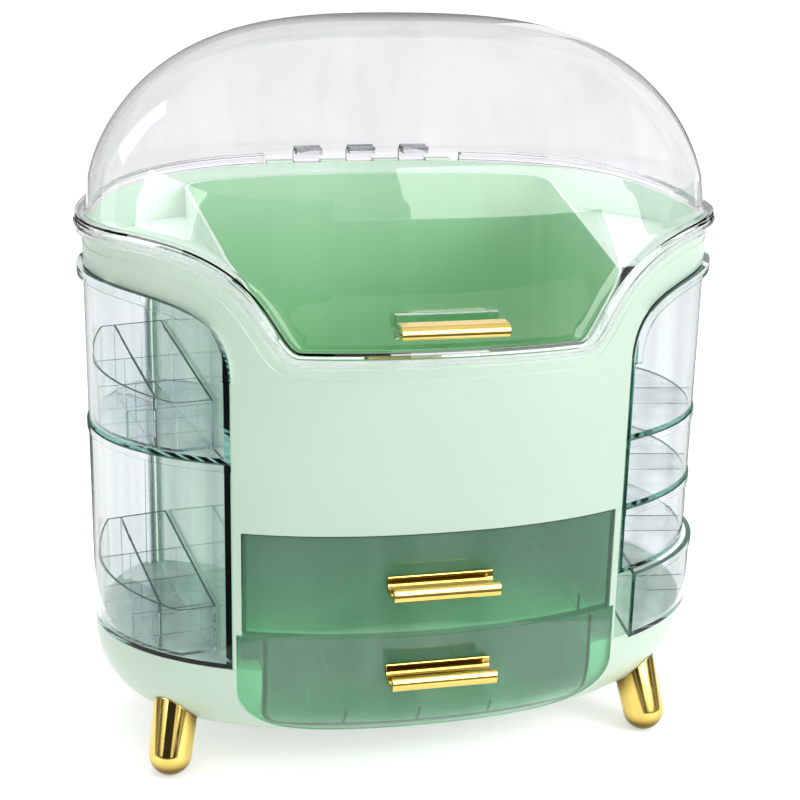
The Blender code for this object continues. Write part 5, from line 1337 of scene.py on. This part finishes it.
def build():
    # Rim materials: the plastic's own tint, darkened further by painted shade.
    rim = rim_plastic("clear rims", (0.05, 0.15, 0.13), (0.10, 0.25, 0.21), 0.6, (0.20, 0.66, 0.56), 11)
    tint_rim = rim_plastic("tinted rims", (0.015, 0.09, 0.06), (0.03, 0.14, 0.09), 0.4,
                           (0.05, 0.70, 0.40), 44)
    finishes = {"mint_plastic": mint_plastic(), "tinted_plastic": tinted_plastic(),
                "gold_plate": gold_plate(), "steel": steel()}
    finishes["clear_plastic"] = clear_plastic("clear plastic", (0.82, 0.83, 0.845), (0.965, 0.97, 0.975),
                                              (0.20, 0.62, 0.54), 12, 1.34)
    racks = clear_plastic("rack plastic", (0.90, 0.93, 0.93), (0.97, 0.985, 0.985),
                          (0.20, 0.60, 0.54), 12, 1.38)
    dome = clear_plastic("dome plastic", (0.92, 0.91, 0.93), (0.965, 0.955, 0.972),
                         (0.38, 0.40, 0.43), 22)
    own = {"lid_dome": dome, "left_lower_rack": racks, "left_upper_rack": racks}
    made = pieces()
    for node, item in made.items():
        slot = next((slot for slot, nodes in SLOTS.items() if node in nodes), "clear_plastic")
        dress(item, node, own.get(node, finishes[slot]))
        # Narrow rims take the darker rim material, partly painted shade.
        if slot == "tinted_plastic":
            darken_rims(item, tint_rim, DRAWER_RIM_RISE)
        elif slot == "clear_plastic" and node != "lid_dome":
            darken_rims(item, rim, UNIT_RIM_RISE)
    # The tower's walls beside the units get painted shade.
    recolour(made["body_shell"], shaded_bay_plastic(), beside_units)
    # The ends of the lid's knuckles take the rim material with its painted shade.
    recolour(made["lid_dome"], rim, knuckle_end)
    # The well's inner faces get painted shade.
    shade_well(made["top_tray"], shaded_liner_plastic())


def area_lamp(name, spot, size, power):
    lamp = bpy.data.lights.new(name, "AREA")
    lamp.shape = "RECTANGLE"
    lamp.size, lamp.size_y = size
    lamp.energy = power
    made = bpy.data.objects.new(name, lamp)
    bpy.context.scene.collection.objects.link(made)
    made.location = spot
    made.rotation_euler = (LAMP_TARGET - Vector(spot)).to_track_quat("-Z", "Y").to_euler()
    made.visible_glossy = False
    made.visible_transmission = False


def seen_by_eye(tree):
    """1 for rays from the camera, also through mirrors and clear plastic."""
    path = add(tree, "LightPath", {})
    total = path.outputs["Is Camera Ray"]
    for other in ("Is Glossy Ray", "Is Transmission Ray"):
        total = add(tree, "Math", {0: total, 1: path.outputs[other]}, operation="MAXIMUM").outputs["Value"]
    return total


def sky():
    """World: white where it is seen, and a softer fill where it only lights."""
    world = bpy.data.worlds.new("studio")
    bpy.context.scene.world = world
    world.use_nodes = True
    tree = world.node_tree
    tree.nodes.clear()
    seen = add(tree, "Background", {"Color": WHITE, "Strength": 1.0})
    fill = add(tree, "Background", {"Strength": WORLD_FILL})
    mix = add(tree, "MixShader", {"Fac": seen_by_eye(tree), 1: fill.outputs["Background"],
                                  2: seen.outputs["Background"]})
    add(tree, "OutputWorld", {"Surface": mix.outputs["Shader"]})


def mirror_only(item, glow):
    """Stage piece that lights nothing and hides nothing: only mirror rays meet it."""
    item.data.materials.append(new_material(item.name, DARK, 0.9, Emission_Color=WHITE,
                                            Emission_Strength=glow))
    for ray in ("camera", "diffuse", "transmission", "shadow"):
        setattr(item, f"visible_{ray}", False)


def mirrored_set():
    """Cards and rings that the glossy pieces mirror."""
    for name, (azimuth, spread, low, high_left, high_right, glow) in CARDS.items():
        reach = CARD_DISTANCE * math.tan(math.radians(spread) / 2)
        bm = bmesh.new()
        bm.faces.new([bm.verts.new(corner) for corner in (
            (-reach, 0, low), (reach, 0, low), (reach, 0, high_right), (-reach, 0, high_left))])
        card = from_bmesh(bm, name)
        turn = math.radians(azimuth)
        card.location = (CARD_DISTANCE * math.sin(turn), -CARD_DISTANCE * math.cos(turn), 0)
        card.rotation_euler = (0, 0, turn)
        mirror_only(card, glow)
    for name, (lower, upper, height, middle, glow) in RINGS.items():
        bm = bmesh.new()
        bmesh.ops.create_cone(bm, cap_ends=False, segments=RING_SIDES, radius1=lower, radius2=upper,
                              depth=height)
        ring = from_bmesh(bm, name)
        ring.location.z = middle
        mirror_only(ring, glow)


def white_floor():
    """Pale floor that shows white and keeps the object's shadow."""
    bm = bmesh.new()
    bmesh.ops.create_grid(bm, x_segments=1, y_segments=1, size=FLOOR_REACH)
    floor = from_bmesh(bm, "floor")
    made = new_material("floor", PALE, 0.6, Specular_IOR_Level=0.2)
    tree, shader = shading(made)
    lift = add(tree, "Math", {0: seen_by_eye(tree), 1: FLOOR_LIFT}, operation="MULTIPLY")
    feed(tree, shader, {"Emission Color": WHITE, "Emission Strength": lift.outputs["Value"]})
    floor.data.materials.append(made)


def light_paths():
    """Enough bounces for light to cross every clear wall."""
    paths = bpy.context.scene.cycles
    paths.max_bounces = 24
    paths.transmission_bounces = 24
    paths.glossy_bounces = 20
    paths.diffuse_bounces = 5
    paths.transparent_max_bounces = 32


def studio():
    light_paths()
    mirrored_set()
    sky()
    for name, lamp in LAMPS.items():
        area_lamp(name, *lamp)
    white_floor()


def camera():
    eye = bpy.data.cameras.new("camera")
    eye.lens = CAMERA_LENS
    eye.sensor_width = CAMERA_SENSOR
    eye.shift_x, eye.shift_y = CAMERA_SHIFT
    made = bpy.data.objects.new("camera", eye)
    bpy.context.scene.collection.objects.link(made)
    level = math.cos(CAMERA_ELEVATION)
    away = Vector((math.sin(CAMERA_AZIMUTH) * level, -math.cos(CAMERA_AZIMUTH) * level,
                   math.sin(CAMERA_ELEVATION)))
    made.location = Vector(CAMERA_TARGET) + Vector((0, PLAN_SHIFT_Y, 0)) + away * CAMERA_DISTANCE
    turn = (-away).to_track_quat("-Z", "Y").to_matrix() @ Matrix.Rotation(CAMERA_ROLL, 3, "Z")
    made.rotation_euler = turn.to_euler()
    bpy.context.scene.camera = made


build()
studio()
camera()
bpy.context.scene.view_settings.view_transform = "Standard"
